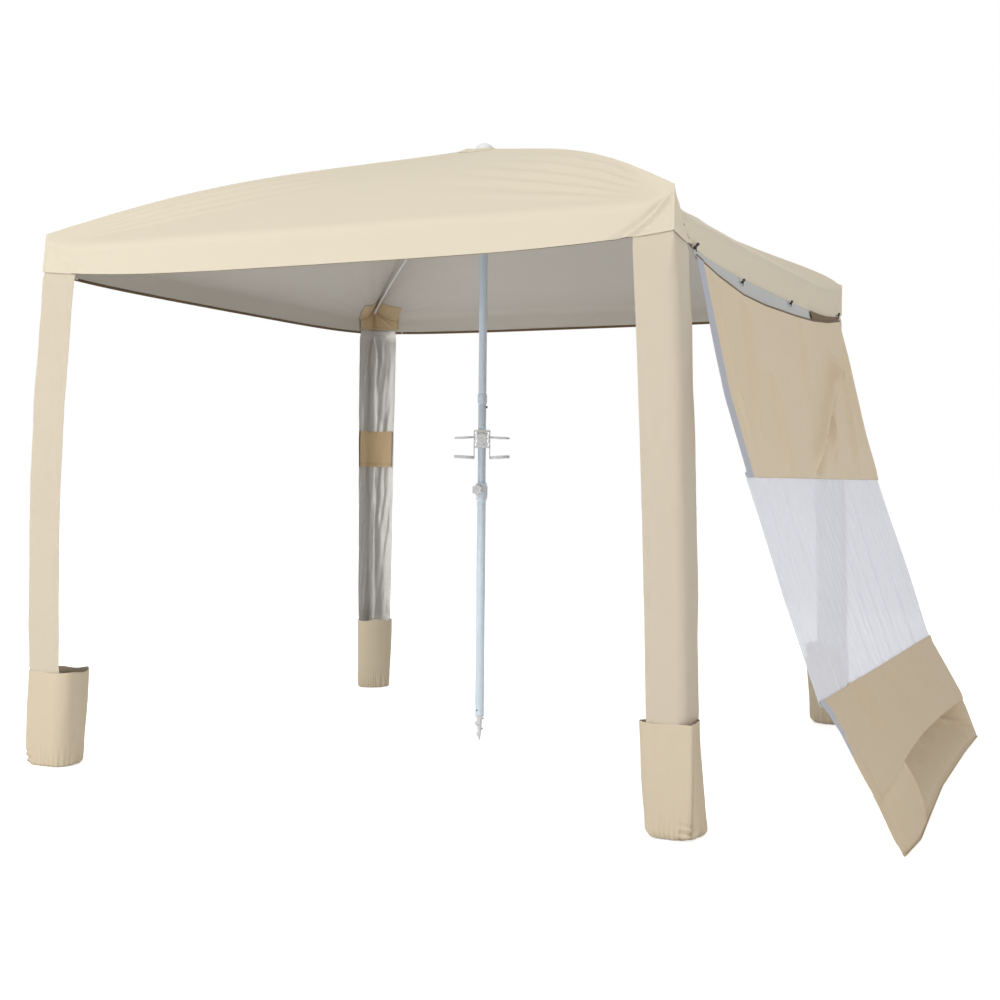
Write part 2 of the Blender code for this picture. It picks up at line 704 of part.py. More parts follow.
def build_lock(plug_bore):
    """The push button that holds the pole joint, and the bent leaf spring behind it."""
    stem_end = POLE_R + LOCK_STAND_OUT
    length = stem_end - LOCK_INNER_R
    head = LOCK_HEAD_THICK
    dome = LOCK_R / 2
    profile = [(0.0, length), (dome, length - dome / 4), (LOCK_R, length - dome), (LOCK_R, head),
               (LOCK_HEAD_R, head), (LOCK_HEAD_R, 0.0), (0.0, 0.0)]
    button = turned("lock_button", profile, 16)
    out = Vector((math.cos(VIEW_ANGLE), math.sin(VIEW_ANGLE), 0.0))
    turn = Matrix.Rotation(VIEW_ANGLE, 4, "Z") @ Matrix.Rotation(math.pi / 2, 4, "Y")
    start = out * LOCK_INNER_R + Vector((0.0, 0.0, LOCK_Z))
    button.data.transform(Matrix.Translation(start) @ turn)
    place(button, "lock_button", BLACK, start)
    near = LOCK_INNER_R - CLEARANCE
    far = -math.sqrt((plug_bore - CLEARANCE) ** 2 - (SPRING_WIDTH / 2) ** 2)
    t = SPRING_THICK
    lift = LOCK_HEAD_R
    low = -SPRING_LENGTH
    outline = [(near, lift), (near, low), (far, low), (far, lift), (far + t, lift), (far + t, low + t),
               (near - t, low + t), (near - t, lift)]
    upright = Matrix.Rotation(math.pi / 2, 4, "X")
    turn = Matrix.Translation((0.0, 0.0, LOCK_Z)) @ Matrix.Rotation(VIEW_ANGLE, 4, "Z") @ upright
    spring = prism("lock_spring", outline, SPRING_WIDTH, turn)
    place(spring, "lock_spring", STEEL)


def build_anchor(plug_r):
    """The sand anchor: a plug in the tube, a tapered core and one helical flight."""
    shoulder = LOWER_BOTTOM_Z - CLEARANCE
    profile = [(0.0, ANCHOR_TOP_Z), (plug_r - TUBE_WALL, ANCHOR_TOP_Z), (plug_r, ANCHOR_TOP_Z - TUBE_WALL),
               (plug_r, shoulder), (ANCHOR_SHOULDER_R, shoulder), (ANCHOR_SHOULDER_R, ANCHOR_SHOULDER_Z),
               (ANCHOR_CORE_R, FLIGHT_TOP_Z - FLIGHT_THICK), (ANCHOR_TIP_R * 2, ANCHOR_TIP_RISE),
               (ANCHOR_TIP_R, 0.0), (0.0, 0.0)]
    core = turned("sand_anchor", profile)
    steps = int(FLIGHT_TURNS * FLIGHT_STEPS_PER_TURN)
    bm = bmesh.new()
    sections = []
    for i in range(steps + 1):
        share = i / steps
        z = FLIGHT_TOP_Z + (FLIGHT_FOOT_Z - FLIGHT_TOP_Z) * share
        taper = 1 - FLIGHT_TAPER_SHARE * share ** 2
        outer = FLIGHT_R * taper
        a = VIEW_ANGLE + 2 * math.pi * FLIGHT_TURNS * share
        inner = ANCHOR_TIP_R / 2
        half = FLIGHT_THICK / 2
        corners = ((inner, half), (outer, half / 2), (outer, -half / 2), (inner, -half))
        sections.append([bm.verts.new((r * math.cos(a), r * math.sin(a), z + d)) for r, d in corners])
    for one, two in zip(sections, sections[1:]):
        for k in range(4):
            bm.faces.new((one[k], one[(k + 1) % 4], two[(k + 1) % 4], two[k]))
    bm.faces.new(sections[0][::-1])
    bm.faces.new(sections[-1])
    flight = mesh_object("anchor_flight", bm)
    place(combine(core, [flight], "UNION"), "sand_anchor", WHITE_PLASTIC)


def build_height_clamp():
    """The clamp on the lower pole and its star knob."""
    top_bore = POLE_R + CLEARANCE
    low_bore = LOWER_R + CLEARANCE
    lip = CLAMP_LIP
    step = LOWER_TOP_Z + CLEARANCE
    outline = [(CLAMP_R - lip, CLAMP_TOP_Z), (CLAMP_R, CLAMP_TOP_Z - lip), (CLAMP_R, CLAMP_BOTTOM_Z + lip),
               (CLAMP_R - lip, CLAMP_BOTTOM_Z), (low_bore, CLAMP_BOTTOM_Z), (low_bore, step), (top_bore, step),
               (top_bore, CLAMP_TOP_Z)]
    clamp = turned("height_clamp", outline + outline[:1])
    inner = LOWER_R + (CLAMP_R - LOWER_R) / 2
    reach = CLAMP_BOSS_REACH
    boss = box("clamp_boss", (reach - inner, CLAMP_BOSS_WIDTH, CLAMP_BOSS_HEIGHT),
               ((reach + inner) / 2, 0.0, CLAMP_BOSS_Z), CLAMP_ANGLE)
    hole = cylinder("clamp_hole", STEM_R + CLEARANCE, CLAMP_R, (inner + CLAMP_R / 2, 0.0, CLAMP_BOSS_Z), "X",
                    CLAMP_ANGLE, steps=16)
    bevel(boss, lip, 1)
    combine(combine(clamp, [boss], "UNION"), [hole], "DIFFERENCE")
    place(clamp, "height_clamp", WHITE_PLASTIC)
    tip = CLAMP_R - CLAMP_LIP / 2
    build_knob("height_knob", tip, reach + KNOB_GAP, STAR_THICK, CLAMP_BOSS_Z, CLAMP_ANGLE, STAR_R,
               STAR_LOBE, STAR_LOBES)


def build_knob(name, tip, face, thick, z, angle, radius, lobe, lobes):
    """A lobed knob with its stem, its axis level and pointing out from the pole."""
    count = lobes * KNOB_POINTS_PER_LOBE
    outline = []
    for i in range(count):
        a = 2 * math.pi * i / count
        r = radius - lobe + lobe * math.cos(lobes * a)
        outline.append((r * math.cos(a), r * math.sin(a)))
    turn = Matrix.Rotation(angle, 4, "Z")
    middle = turn @ Matrix.Translation((face + thick / 2, 0.0, z)) @ Matrix.Rotation(math.pi / 2, 4, "Y")
    knob = prism(name, outline, thick, middle)
    centre = ((face + tip + CUT_OVERRUN) / 2, 0.0, z)
    stem = cylinder(name + "_stem", STEM_R, face - tip + CUT_OVERRUN, centre, "X", angle, steps=16)
    combine(knob, [stem], "UNION")
    bevel(knob, lobe / 2, 1, 60)
    out = turn @ Vector((face, 0.0, z))
    return place(knob, name, WHITE_PLASTIC, out)


def build_cup_holder():
    """The cup holder: a block clamped on the pole, two rings above two trays, and a round knob."""
    angle = VIEW_ANGLE
    height = CUP_BLOCK_TOP_Z - CUP_BLOCK_BOTTOM_Z
    centre_z = (CUP_BLOCK_TOP_Z + CUP_BLOCK_BOTTOM_Z) / 2
    block = box("cup_holder", (2 * CUP_BLOCK_HALF, 2 * CUP_BLOCK_DEPTH_HALF, height), (0.0, 0.0, centre_z), angle)
    bevel(block, CUP_BLOCK_BEVEL, 1)
    joined = []
    thick = CUP_STRAP_THICK
    foot = CUP_TRAY_Z - CUP_TRAY_THICK
    for side in (-1, 1):
        centre = side * CUP_RING_REACH
        bm = bmesh.new()
        steps, sides = CUP_RING_STEPS, CUP_RING_SIDES
        loops = []
        for i in range(steps):
            a = 2 * math.pi * i / steps
            loop = []
            for k in range(sides):
                b = 2 * math.pi * k / sides
                r = CUP_RING_R - CUP_RING_WIRE + CUP_RING_WIRE * math.cos(b)
                z = CUP_RING_Z + CUP_RING_WIRE * math.sin(b)
                loop.append(bm.verts.new((centre + r * math.cos(a), r * math.sin(a), z)))
            loops.append(loop)
        for i in range(steps):
            one, two = loops[i], loops[(i + 1) % steps]
            for k in range(sides):
                bm.faces.new((one[k], one[(k + 1) % sides], two[(k + 1) % sides], two[k]))
        bmesh.ops.rotate(bm, cent=(0.0, 0.0, 0.0), matrix=Matrix.Rotation(angle, 3, "Z"), verts=bm.verts)
        joined.append(mesh_object("cup_ring", bm))
        inner_r = CUP_TRAY_R - CUP_TRAY_WALL
        top = CUP_TRAY_Z + CUP_TRAY_THICK / 2
        bottom = top - CUP_TRAY_THICK
        tray = turned("cup_tray", [(inner_r, top), (CUP_TRAY_R, top), (CUP_TRAY_R, bottom), (0.0, bottom),
                                   (0.0, bottom + CUP_TRAY_FLOOR), (inner_r, bottom + CUP_TRAY_FLOOR),
                                   (inner_r, top)])
        tray.data.transform(Matrix.Rotation(angle, 4, "Z") @ Matrix.Translation((centre, 0.0, 0.0)))
        joined.append(tray)
        x = side * (CUP_BLOCK_HALF + thick / 2 - CLEARANCE)
        strap_top = CUP_BLOCK_TOP_Z - CUP_BLOCK_BEVEL
        middle = (x, 0.0, (strap_top + foot) / 2)
        joined.append(box("cup_strap", (thick, CUP_STRAP_WIDTH, strap_top - foot), middle, angle))
        near = CUP_RING_REACH - CUP_TRAY_R
        reach = near + CUP_TRAY_WALL - CUP_BLOCK_HALF
        joined.append(box("cup_shelf", (reach, CUP_STRAP_WIDTH, CUP_TRAY_FLOOR * 2),
                          (side * (CUP_BLOCK_HALF + reach / 2), 0.0, foot + CUP_TRAY_FLOOR), angle))
        joined.append(box("cup_arm", (reach, CUP_STRAP_WIDTH, CUP_RING_WIRE * 2),
                          (side * (CUP_BLOCK_HALF + reach / 2), 0.0, CUP_RING_Z), angle))
    combine(block, joined, "UNION")
    cuts = [cylinder("cup_bore", POLE_R + CLEARANCE, height + 2 * CUT_OVERRUN, (0.0, 0.0, centre_z))]
    knob_angle = angle - math.pi / 2
    stem = (CUP_BLOCK_DEPTH_HALF, 0.0, CUP_KNOB_Z)
    hole_r = STEM_R + CLEARANCE
    cuts.append(cylinder("cup_knob_hole", hole_r, CUP_BLOCK_DEPTH_HALF, stem, "X", knob_angle, steps=16))
    for side in (-1, 1):
        x = side * (CUP_BLOCK_HALF - CUP_WINDOW_DEPTH / 2)
        size = (CUP_WINDOW_DEPTH, 2 * CUP_BLOCK_DEPTH_HALF + CUT_OVERRUN, CUP_WINDOW_HEIGHT)
        cuts.append(box("cup_window", size, (x, 0.0, centre_z), angle))
    combine(block, cuts, "DIFFERENCE")
    place(block, "cup_holder", WHITE_PLASTIC)
    tip = POLE_R + CLEARANCE * 2
    build_knob("cup_holder_knob", tip, CUP_BLOCK_DEPTH_HALF + KNOB_GAP, CUP_KNOB_THICK, CUP_KNOB_Z, knob_angle,
               CUP_KNOB_R, CUP_KNOB_FLUTE, CUP_KNOB_FLUTES)


def build_head():
    """The hub with its pins, the washer under the cloth and the domed cap."""
    bore = POLE_R + CLEARANCE
    neck_z = HUB_BOTTOM_Z - HUB_NECK_DROP
    outline = [(HUB_R, HUB_TOP_Z), (HUB_R, HUB_BOTTOM_Z), (HUB_NECK_R, HUB_BOTTOM_Z), (HUB_NECK_R, neck_z),
               (bore, neck_z), (bore, HUB_TOP_Z)]
    hub = turned("top_hub", outline + outline[:1], 32)
    height = HUB_TOP_Z - HUB_BOTTOM_Z
    cuts, pins = [], []
    for sx, sy in CORNERS.values():
        angle = math.atan2(sy, sx)
        length = HUB_R - SLOT_BOTTOM_R + CUT_OVERRUN
        cuts.append(box("hub_slot", (length, SLOT_WIDTH, height + 2 * CUT_OVERRUN),
                        (SLOT_BOTTOM_R + length / 2, 0.0, (HUB_TOP_Z + HUB_BOTTOM_Z) / 2), angle))
        pin = (HUB_PIVOT_R, 0.0, HUB_PIVOT_Z)
        pins.append(cylinder("hub_pin", PIN_R, SLOT_WIDTH + 2 * CUT_OVERRUN, pin, "Y", angle, steps=12))
    combine(hub, cuts, "DIFFERENCE")
    combine(hub, pins, "UNION")
    place(hub, "top_hub", WHITE_PLASTIC)
    base = HUB_TOP_Z + CLEARANCE
    top = APEX_Z - CLOTH - CLEARANCE
    rim = base + WASHER_RIM
    outline = [(CROWN_HOLE_HALF, top), (CROWN_HALF, top), (WASHER_R, rim), (WASHER_R, base), (bore, base),
               (bore, top)]
    washer = turned("crown_washer", outline + outline[:1], 32)
    place(washer, "crown_washer", WHITE_PLASTIC)
    bottom = APEX_Z + CLEARANCE
    plug = POLE_R - TUBE_WALL - CLEARANCE
    profile = []
    rim_z = bottom + CAP_RIM
    for i in range(CAP_DOME_STEPS):
        a = math.pi / 2 * (1 - i / (CAP_DOME_STEPS - 1))
        profile.append((CAP_R * math.cos(a) if i else 0.0, rim_z + (CAP_TOP_Z - rim_z) * math.sin(a)))
    foot = POLE_TOP_Z - CAP_PLUG_LENGTH
    profile += [(CAP_R - CAP_RIM / 4, bottom), (plug, bottom), (plug, foot), (0.0, foot)]
    place(turned("finial_cap", profile, 32), "finial_cap", WHITE_PLASTIC)


def rib_tip_r():
    """Distance of the middle of a rib's tip ball from the pole's axis."""
    inner = CANOPY_HALF - PATCH_INSET - PATCH_CLOTH - 2 * CLEARANCE
    return (inner - TIP_BALL_R) * math.sqrt(2)


def rib_z(r):
    """Height of a rib's middle line at a distance from the pole's axis."""
    share = (r - HUB_PIVOT_R) / (rib_tip_r() - HUB_PIVOT_R)
    return HUB_PIVOT_Z + (RIB_TIP_Z - HUB_PIVOT_Z) * share + RIB_BOW * 4 * share * (1 - share)


def strut_angle():
    """Angle below level of the line from the hub pin to the strut's pin on the rib."""
    angle = 0.0
    for _ in range(30):
        z = rib_z(HUB_PIVOT_R + STRUT_REACH * math.cos(angle)) - BRACKET_DROP
        angle = math.asin((HUB_PIVOT_Z - z) / STRUT_REACH)
    return angle


def build_ribs():
    """Four bowed ribs with their eyes and strut brackets, the ball tips, and the four struts."""
    down = strut_angle()
    pin_r = HUB_PIVOT_R + STRUT_REACH * math.cos(down)
    pin_z = HUB_PIVOT_Z - STRUT_REACH * math.sin(down)
    runner_z = HUB_PIVOT_Z - 2 * STRUT_REACH * math.sin(down)
    hub_pin = Vector((HUB_PIVOT_R, 0.0, HUB_PIVOT_Z))
    strut_pin = Vector((pin_r, 0.0, pin_z))
    start_r = HUB_PIVOT_R + EYE_R / 2
    stop_r = rib_tip_r() - TIP_SLEEVE_LENGTH / 2
    points = []
    for i in range(RIB_POINTS):
        r = start_r + (stop_r - start_r) * i / (RIB_POINTS - 1)
        points.append((r, 0.0, rib_z(r)))
    rib = rod("rib", points, ROD_R)
    eye = cylinder("rib_eye", EYE_R, EYE_WIDTH, hub_pin, "Y", steps=20)
    eye_hole = cylinder("rib_eye_hole", PIN_R + EYE_CLEARANCE, SLOT_WIDTH, hub_pin, "Y", steps=12)
    block_z = pin_z + BRACKET_RISE
    block = box("rib_bracket", (BRACKET_LENGTH, BRACKET_WIDTH, BRACKET_HEIGHT), (pin_r, 0.0, block_z))
    block = settle(bevel(block, CLAMP_LIP, 1))
    slot_top = pin_z + EYE_R + 2 * CLEARANCE
    slot_low = block_z - BRACKET_HEIGHT
    slot = box("bracket_slot", (BRACKET_LENGTH + 2 * CUT_OVERRUN, SLOT_WIDTH, slot_top - slot_low),
               (pin_r, 0.0, (slot_top + slot_low) / 2))
    pin = cylinder("bracket_pin", PIN_R, SLOT_WIDTH + CUT_OVERRUN, strut_pin, "Y", steps=12)
    combine(rib, [eye], "UNION")
    combine(rib, [eye_hole], "DIFFERENCE")
    combine(rib, [block], "UNION")
    combine(rib, [slot], "DIFFERENCE")
    combine(rib, [pin], "UNION")
    repeat_round(settle(rib), "rib", WHITE_METAL, hub_pin)
    ball = Vector((rib_tip_r(), 0.0, RIB_TIP_Z))
    ahead = (ball - Vector(points[-2])).normalized()
    repeat_round(build_tip(ball, ahead, Vector(points[-1])), "rib_tip", WHITE_PLASTIC, hub_pin)
    repeat_round(build_strut(strut_pin, Vector((HUB_PIVOT_R, 0.0, runner_z))), "strut", WHITE_METAL, strut_pin)
    build_runner(runner_z)


def build_tip(ball, ahead, rod_end):
    """A ball tip whose sleeve holds the end of the rod."""
    bm = bmesh.new()
    bmesh.ops.create_uvsphere(bm, u_segments=12, v_segments=8, radius=TIP_BALL_R)
    bmesh.ops.transform(bm, matrix=Matrix.Translation(ball), verts=bm.verts)
    tip = mesh_object("rib_tip", bm)
    base = ball - ahead * TIP_SLEEVE_LENGTH
    sleeve = rod("tip_sleeve", [base, ball], TIP_SLEEVE_R)
    inner = rod_end + ahead * CLEARANCE
    socket = rod("tip_socket", [base - ahead * CUT_OVERRUN, inner], ROD_R + CLEARANCE)
    combine(tip, [sleeve], "UNION")
    return settle(combine(tip, [socket], "DIFFERENCE"))


def build_strut(outer, inner):
    """A strut between the bracket of its rib and the ears of the runner."""
    along = (inner - outer).normalized()
    strut = rod("strut", [outer + along * EYE_R / 2, inner - along * EYE_R / 2], STRUT_R)
    eye = cylinder("strut_eye", EYE_R, EYE_WIDTH, outer, "Y", steps=20)
    end = cylinder("strut_end", EYE_R, EYE_WIDTH, inner, "Y", steps=20)
    hole = cylinder("strut_hole", PIN_R + EYE_CLEARANCE, SLOT_WIDTH, outer, "Y", steps=12)
    combine(strut, [eye, end], "UNION")
    return settle(combine(strut, [hole], "DIFFERENCE"))


def build_runner(z):
    """The runner with open ears for the strut ends, and its release button."""
    bore = POLE_R + SLIDE_CLEARANCE
    top, low = z + RUNNER_ABOVE, z - RUNNER_BELOW
    ear = RUNNER_EAR_HALF_HEIGHT
    outline = [(RUNNER_R, top), (RUNNER_R, z + ear / 2), (RUNNER_FLANGE_R, z + ear / 2),
               (RUNNER_FLANGE_R, z - ear / 2), (RUNNER_R, z - ear / 2), (RUNNER_R, low), (bore, low), (bore, top)]
    runner = turned("runner", outline + outline[:1], 28)
    ears, slots = [], []
    for sx, sy in CORNERS.values():
        angle = math.atan2(sy, sx)
        inner = (RUNNER_R + bore) / 2
        length = RUNNER_EAR_REACH - inner
        middle = (inner + length / 2, 0.0, z)
        ears.append(box("runner_ear", (length, RUNNER_EAR_WIDTH, 2 * ear), middle, angle))
        reach = RUNNER_EAR_REACH - SLOT_BOTTOM_R + CUT_OVERRUN
        slots.append(box("runner_slot", (reach, SLOT_WIDTH, 2 * ear + 2 * CUT_OVERRUN),
                         (SLOT_BOTTOM_R + reach / 2, 0.0, z), angle))
    combine(runner, ears, "UNION")
    hole_z = z - RELEASE_DROP
    middle = (bore + RUNNER_R / 2 - CLEARANCE, 0.0, hole_z)
    slots.append(cylinder("release_hole", RELEASE_R + CLEARANCE, RUNNER_R, middle, "X", RELEASE_ANGLE, steps=20))
    combine(runner, slots, "DIFFERENCE")
    place(runner, "runner", WHITE_PLASTIC, (0.0, 0.0, z))
    start = POLE_R + RELEASE_INNER_GAP
    end = RUNNER_R + RELEASE_OUT
    middle = ((end + start) / 2, 0.0, hole_z)
    button = cylinder("release_button", RELEASE_R, end - start, middle, "X", RELEASE_ANGLE, steps=20)
    bevel(button, KNOB_GAP, 2, 60)
    turn = Matrix.Rotation(RELEASE_ANGLE, 4, "Z")
    place(button, "release_button", WHITE_PLASTIC, turn @ Vector((start, 0.0, hole_z)))


def wall_x(z):
    """Distance of the wall's outer side from the pole's axis at a height, by straight stretches."""
    knots = ((0.0, WALL_FOOT_X), (WALL_MOUTH_Z, WALL_MOUTH_X), (WALL_LOWER_SEAM_Z, WALL_SEAM_X),
             (WALL_UPPER_SEAM_Z, WALL_NET_X), (WALL_UPPER_Z, WALL_UPPER_X), (WALL_HEM_BACK_Z, WALL_TOP_X))
    for (z0, x0), (z1, x1) in zip(knots, knots[1:]):
        if z <= z1:
            return x0 + (x1 - x0) * (z - z0) / (z1 - z0)
    return WALL_TOP_X


def wall_y(y, z):
    """Place across the wall at a height, where its sides are drawn in or out from the top's."""
    knots = ((0.0, -FOOT_FLARE_FRONT, -FOOT_DRAW_BACK), (WALL_LOWER_SEAM_Z, WAIST_DRAW_FRONT, -WAIST_DRAW_BACK),
             (WALL_UPPER_SEAM_Z, -NET_FLARE_FRONT, -NET_DRAW_BACK), (WALL_HEM_LOW_Z, 0.0, 0.0))
    share = (y - WALL_FRONT_Y) / (WALL_BACK_Y - WALL_FRONT_Y)
    for (z0, front0, back0), (z1, front1, back1) in zip(knots, knots[1:]):
        if z <= z1:
            part = (z - z0) / (z1 - z0)
            front = front0 + (front1 - front0) * part
            back = back0 + (back1 - back0) * part
            return y + front * (1 - share) + back * share
    return y


def wall_hem_z(y):
    """Height of the upper panel's top hem across the wall."""
    front = y < WALL_HEM_LOW_Y
    end_y, end_z = (WALL_FRONT_Y, WALL_HEM_FRONT_Z) if front else (WALL_BACK_Y, WALL_HEM_BACK_Z)
    share = (y - WALL_HEM_LOW_Y) / (end_y - WALL_HEM_LOW_Y)
    return WALL_HEM_LOW_Z + (end_z - WALL_HEM_LOW_Z) * share ** 2


def wall_fold(y, z):
    """How far the crease near the front draws the wall inward."""
    away = abs(y - WALL_FOLD_Y) / WALL_FOLD_HALF
    depth = WALL_FOLD_DEPTH * max(0.0, 1 - z / WALL_UPPER_SEAM_Z)
    return depth * max(0.0, 1 - away) if z < WALL_UPPER_SEAM_Z else 0.0


def wall_stations():
    """Places across the wall: its ends, the seams of the canopy's hem and the crease."""
    inner = [CANOPY_HALF * share for share in CANOPY_COLUMN_SHARES[1:]]
    places = [-y for y in inner] + [0.0] + inner
    apart = WALL_FOLD_HALF / 2
    near = [WALL_FOLD_Y - WALL_FOLD_HALF, WALL_FOLD_Y, WALL_FOLD_Y + WALL_FOLD_HALF]
    kept = [y for y in places if WALL_FRONT_Y + apart < y < WALL_BACK_Y - apart / 2]
    near = [y for y in near if all(abs(y - k) > apart / 3 for k in kept)]
    return sorted([WALL_FRONT_Y] + kept + near + [WALL_BACK_Y])


def hem_line(y):
    """Height of the right valance's hem at a place, straight between the canopy's columns."""
    columns = [CANOPY_HALF * share for share in CANOPY_COLUMN_SHARES]
    for y0, y1 in zip(columns, columns[1:]):
        if abs(y) <= y1:
            z0, z1 = hem_z(1, 1, y0, False), hem_z(1, 1, y1, False)
            return z0 + (z1 - z0) * (abs(y) - y0) / (y1 - y0)
    return VALANCE_CORNER_Z


def wall_panel(name, top, foot, count, look, origin):
    """A panel of the wall between two heights or hems."""
    rows = []
    for i in range(count + 1):
        row = []
        for y in wall_stations():
            high = top(y) if callable(top) else top
            z = high + (foot - high) * i / count
            row.append((wall_x(z) - wall_fold(y, z), wall_y(y, z), z))
        rows.append(row)
    return place(sheet(name, rows, CLOTH, True), name, look, origin)


def build_wall():
    """The sloping side wall with its header strip, panels, sand sleeve and toggles."""
    origin = (WALL_MOUTH_X, 0.0, WALL_MOUTH_Z)
    gap = CLEARANCE
    wall_panel("wall_upper_panel", lambda y: wall_hem_z(y) - gap, WALL_UPPER_SEAM_Z + gap, 5, BEIGE, origin)
    wall_panel("wall_mesh", WALL_UPPER_SEAM_Z - gap, WALL_LOWER_SEAM_Z + gap, 5, MESH_WHITE, origin)
    wall_panel("wall_lower_panel", WALL_LOWER_SEAM_Z - gap, WALL_MOUTH_Z + gap, 3, BEIGE, origin)
    rows = [[], [], []]
    for y in wall_stations():
        high = hem_line(y) - 2 * gap
        low = wall_hem_z(y) + gap
        for i, row in enumerate(rows):
            z = high + (low - high) * i / 2
            row.append((wall_x(min(z, WALL_HEM_BACK_Z)), y, z))
    place(sheet("wall_header_strip", rows, STRIP_THICK, True), "wall_header_strip", SILVER, origin)
    strip = []
    count = 6
    for i in range(count + 1):
        y = PATCH_STRIP_FRONT_Y + (PATCH_STRIP_BACK_Y - PATCH_STRIP_FRONT_Y) * i / count
        high = hem_line(y) - 2 * gap
        low = wall_hem_z(y) + gap
        edge = (high - low) * PATCH_STRIP_MARGIN_SHARE
        strip.append([(y, z) for z in (high - edge, low + edge)])
    rows = []
    for k in (0, 1):
        stand = PATCH_STRIP_THICK + 2 * gap
        rows.append([(wall_x(min(pair[k][1], WALL_HEM_BACK_Z)) + stand, *pair[k]) for pair in strip])
    place(sheet("hook_loop_patch", rows, PATCH_STRIP_THICK, True), "hook_loop_patch", BROWN, origin)
    build_sleeve()
    build_toggles(origin)


def build_sleeve():
    """The sand-filled sleeve along the wall's foot, lying on the ground."""
    bm = bmesh.new()
    rings = []
    top = WALL_MOUTH_Z - CLOTH * 3 / 4
    for i in range(SLEEVE_STATIONS):
        y = WALL_FRONT_Y + (WALL_BACK_Y - WALL_FRONT_Y) * i / (SLEEVE_STATIONS - 1)
        end = min(1.0, 4 * min(i, SLEEVE_STATIONS - 1 - i) / (SLEEVE_STATIONS - 1) + 1 / 3)
        belly = SLEEVE_BELLY * end
        ring = []
        for z in (top, top * 2 / 3, top / 3, 0.0):
            ring.append((wall_x(z) - wall_fold(y, z), wall_y(y, z), z))
        base_x = ring[-1][0] - SLEEVE_BASE * end
        ring.append((base_x, wall_y(y, 0.0), 0.0))
        for z, share in ((top / 3, 1.0), (top * 2 / 3, 2 / 3), (top, 1 / 6)):
            ring.append((wall_x(z) - wall_fold(y, z) - belly * share - CLOTH, wall_y(y, z), z))
        rings.append([bm.verts.new(p) for p in ring])
    count = len(rings[0])
    for one, two in zip(rings, rings[1:]):
        for k in range(count):
            bm.faces.new((one[k], one[(k + 1) % count], two[(k + 1) % count], two[k]))
    bm.faces.new(rings[0][::-1])
    bm.faces.new(rings[-1])
    place(mesh_object("wall_sand_sleeve", bm), "wall_sand_sleeve", SAND)


def build_toggles(origin):
    """Four toggles that hang the header strip on the valance; the front one is a bar."""
    for i, share in enumerate(TOGGLE_Y_SHARES):
        y = WALL_FRONT_Y + (WALL_BACK_Y - WALL_FRONT_Y) * share
        hem = hem_line(y)
        name = f"wall_toggle_{i + 1}"
        radius = TOGGLE_BAR_R if i == 0 else TOGGLE_BEAD_R
        z = hem + TOGGLE_RISE
        drop = TOGGLE_STRAP_DROP
        beside = wall_x(z - drop) + 2 * CLEARANCE + TOGGLE_STRAP_THICK / 2
        x = max(CANOPY_HALF + CLEARANCE + radius, beside)
        if i == 0:
            toggle = cylinder(name, radius, TOGGLE_BAR_LENGTH, (x, y, z), "Y", steps=12)
            bevel(toggle, radius / 3, 2, 60)
        else:
            bm = bmesh.new()
            bmesh.ops.create_uvsphere(bm, u_segments=12, v_segments=8, radius=radius)
            bmesh.ops.transform(bm, matrix=Matrix.Translation((x, y, z)), verts=bm.verts)
            toggle = mesh_object(name, bm)
        strap = box("toggle_strap", (TOGGLE_STRAP_THICK, TOGGLE_STRAP_WIDTH, drop), (x, y, z - drop / 2))
        combine(toggle, [strap], "UNION")
        place(toggle, name, BLACK)


clear_scene()
MODEL = collection("beach_tent")
CUTTERS = collection("cutters")
BEIGE = material("beige_cloth", (214, 203, 180), 0.85)
SAND = material("beige_pocket_cloth", (203, 190, 164), 0.88)
TAN = material("tan_patch_cloth", (176, 156, 122), 0.85)
SILVER = material("silver_cloth", (192, 192, 192), 0.55)
MESH_WHITE = material("white_mesh", (226, 228, 232), 0.8)
BROWN = material("brown_hook_loop", (110, 92, 66), 0.95)
BLACK = material("black_plastic", (28, 28, 30), 0.5)
POLE_BLUE = material("pole_blue_white", (197, 214, 229), 0.32, 0.1)
WHITE_METAL = material("white_rod", (232, 232, 230), 0.35)
WHITE_PLASTIC = material("white_plastic", (226, 228, 228), 0.45)
STEEL = material("steel", (170, 172, 176), 0.35, 0.9)

build_pole()
build_height_clamp()
build_cup_holder()
build_head()
build_ribs()
build_canopy()
build_legs()
build_pockets()
build_wall()
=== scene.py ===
"""Visual model of a square beach tent on a central pole: cloth, fittings, finishes and studio."""
import json
import logging
import math
from collections.abc import Callable, Iterator, Sequence
from contextlib import contextmanager
from dataclasses import dataclass, field
from enum import Enum

import bpy
from mathutils import Matrix, Vector, noise

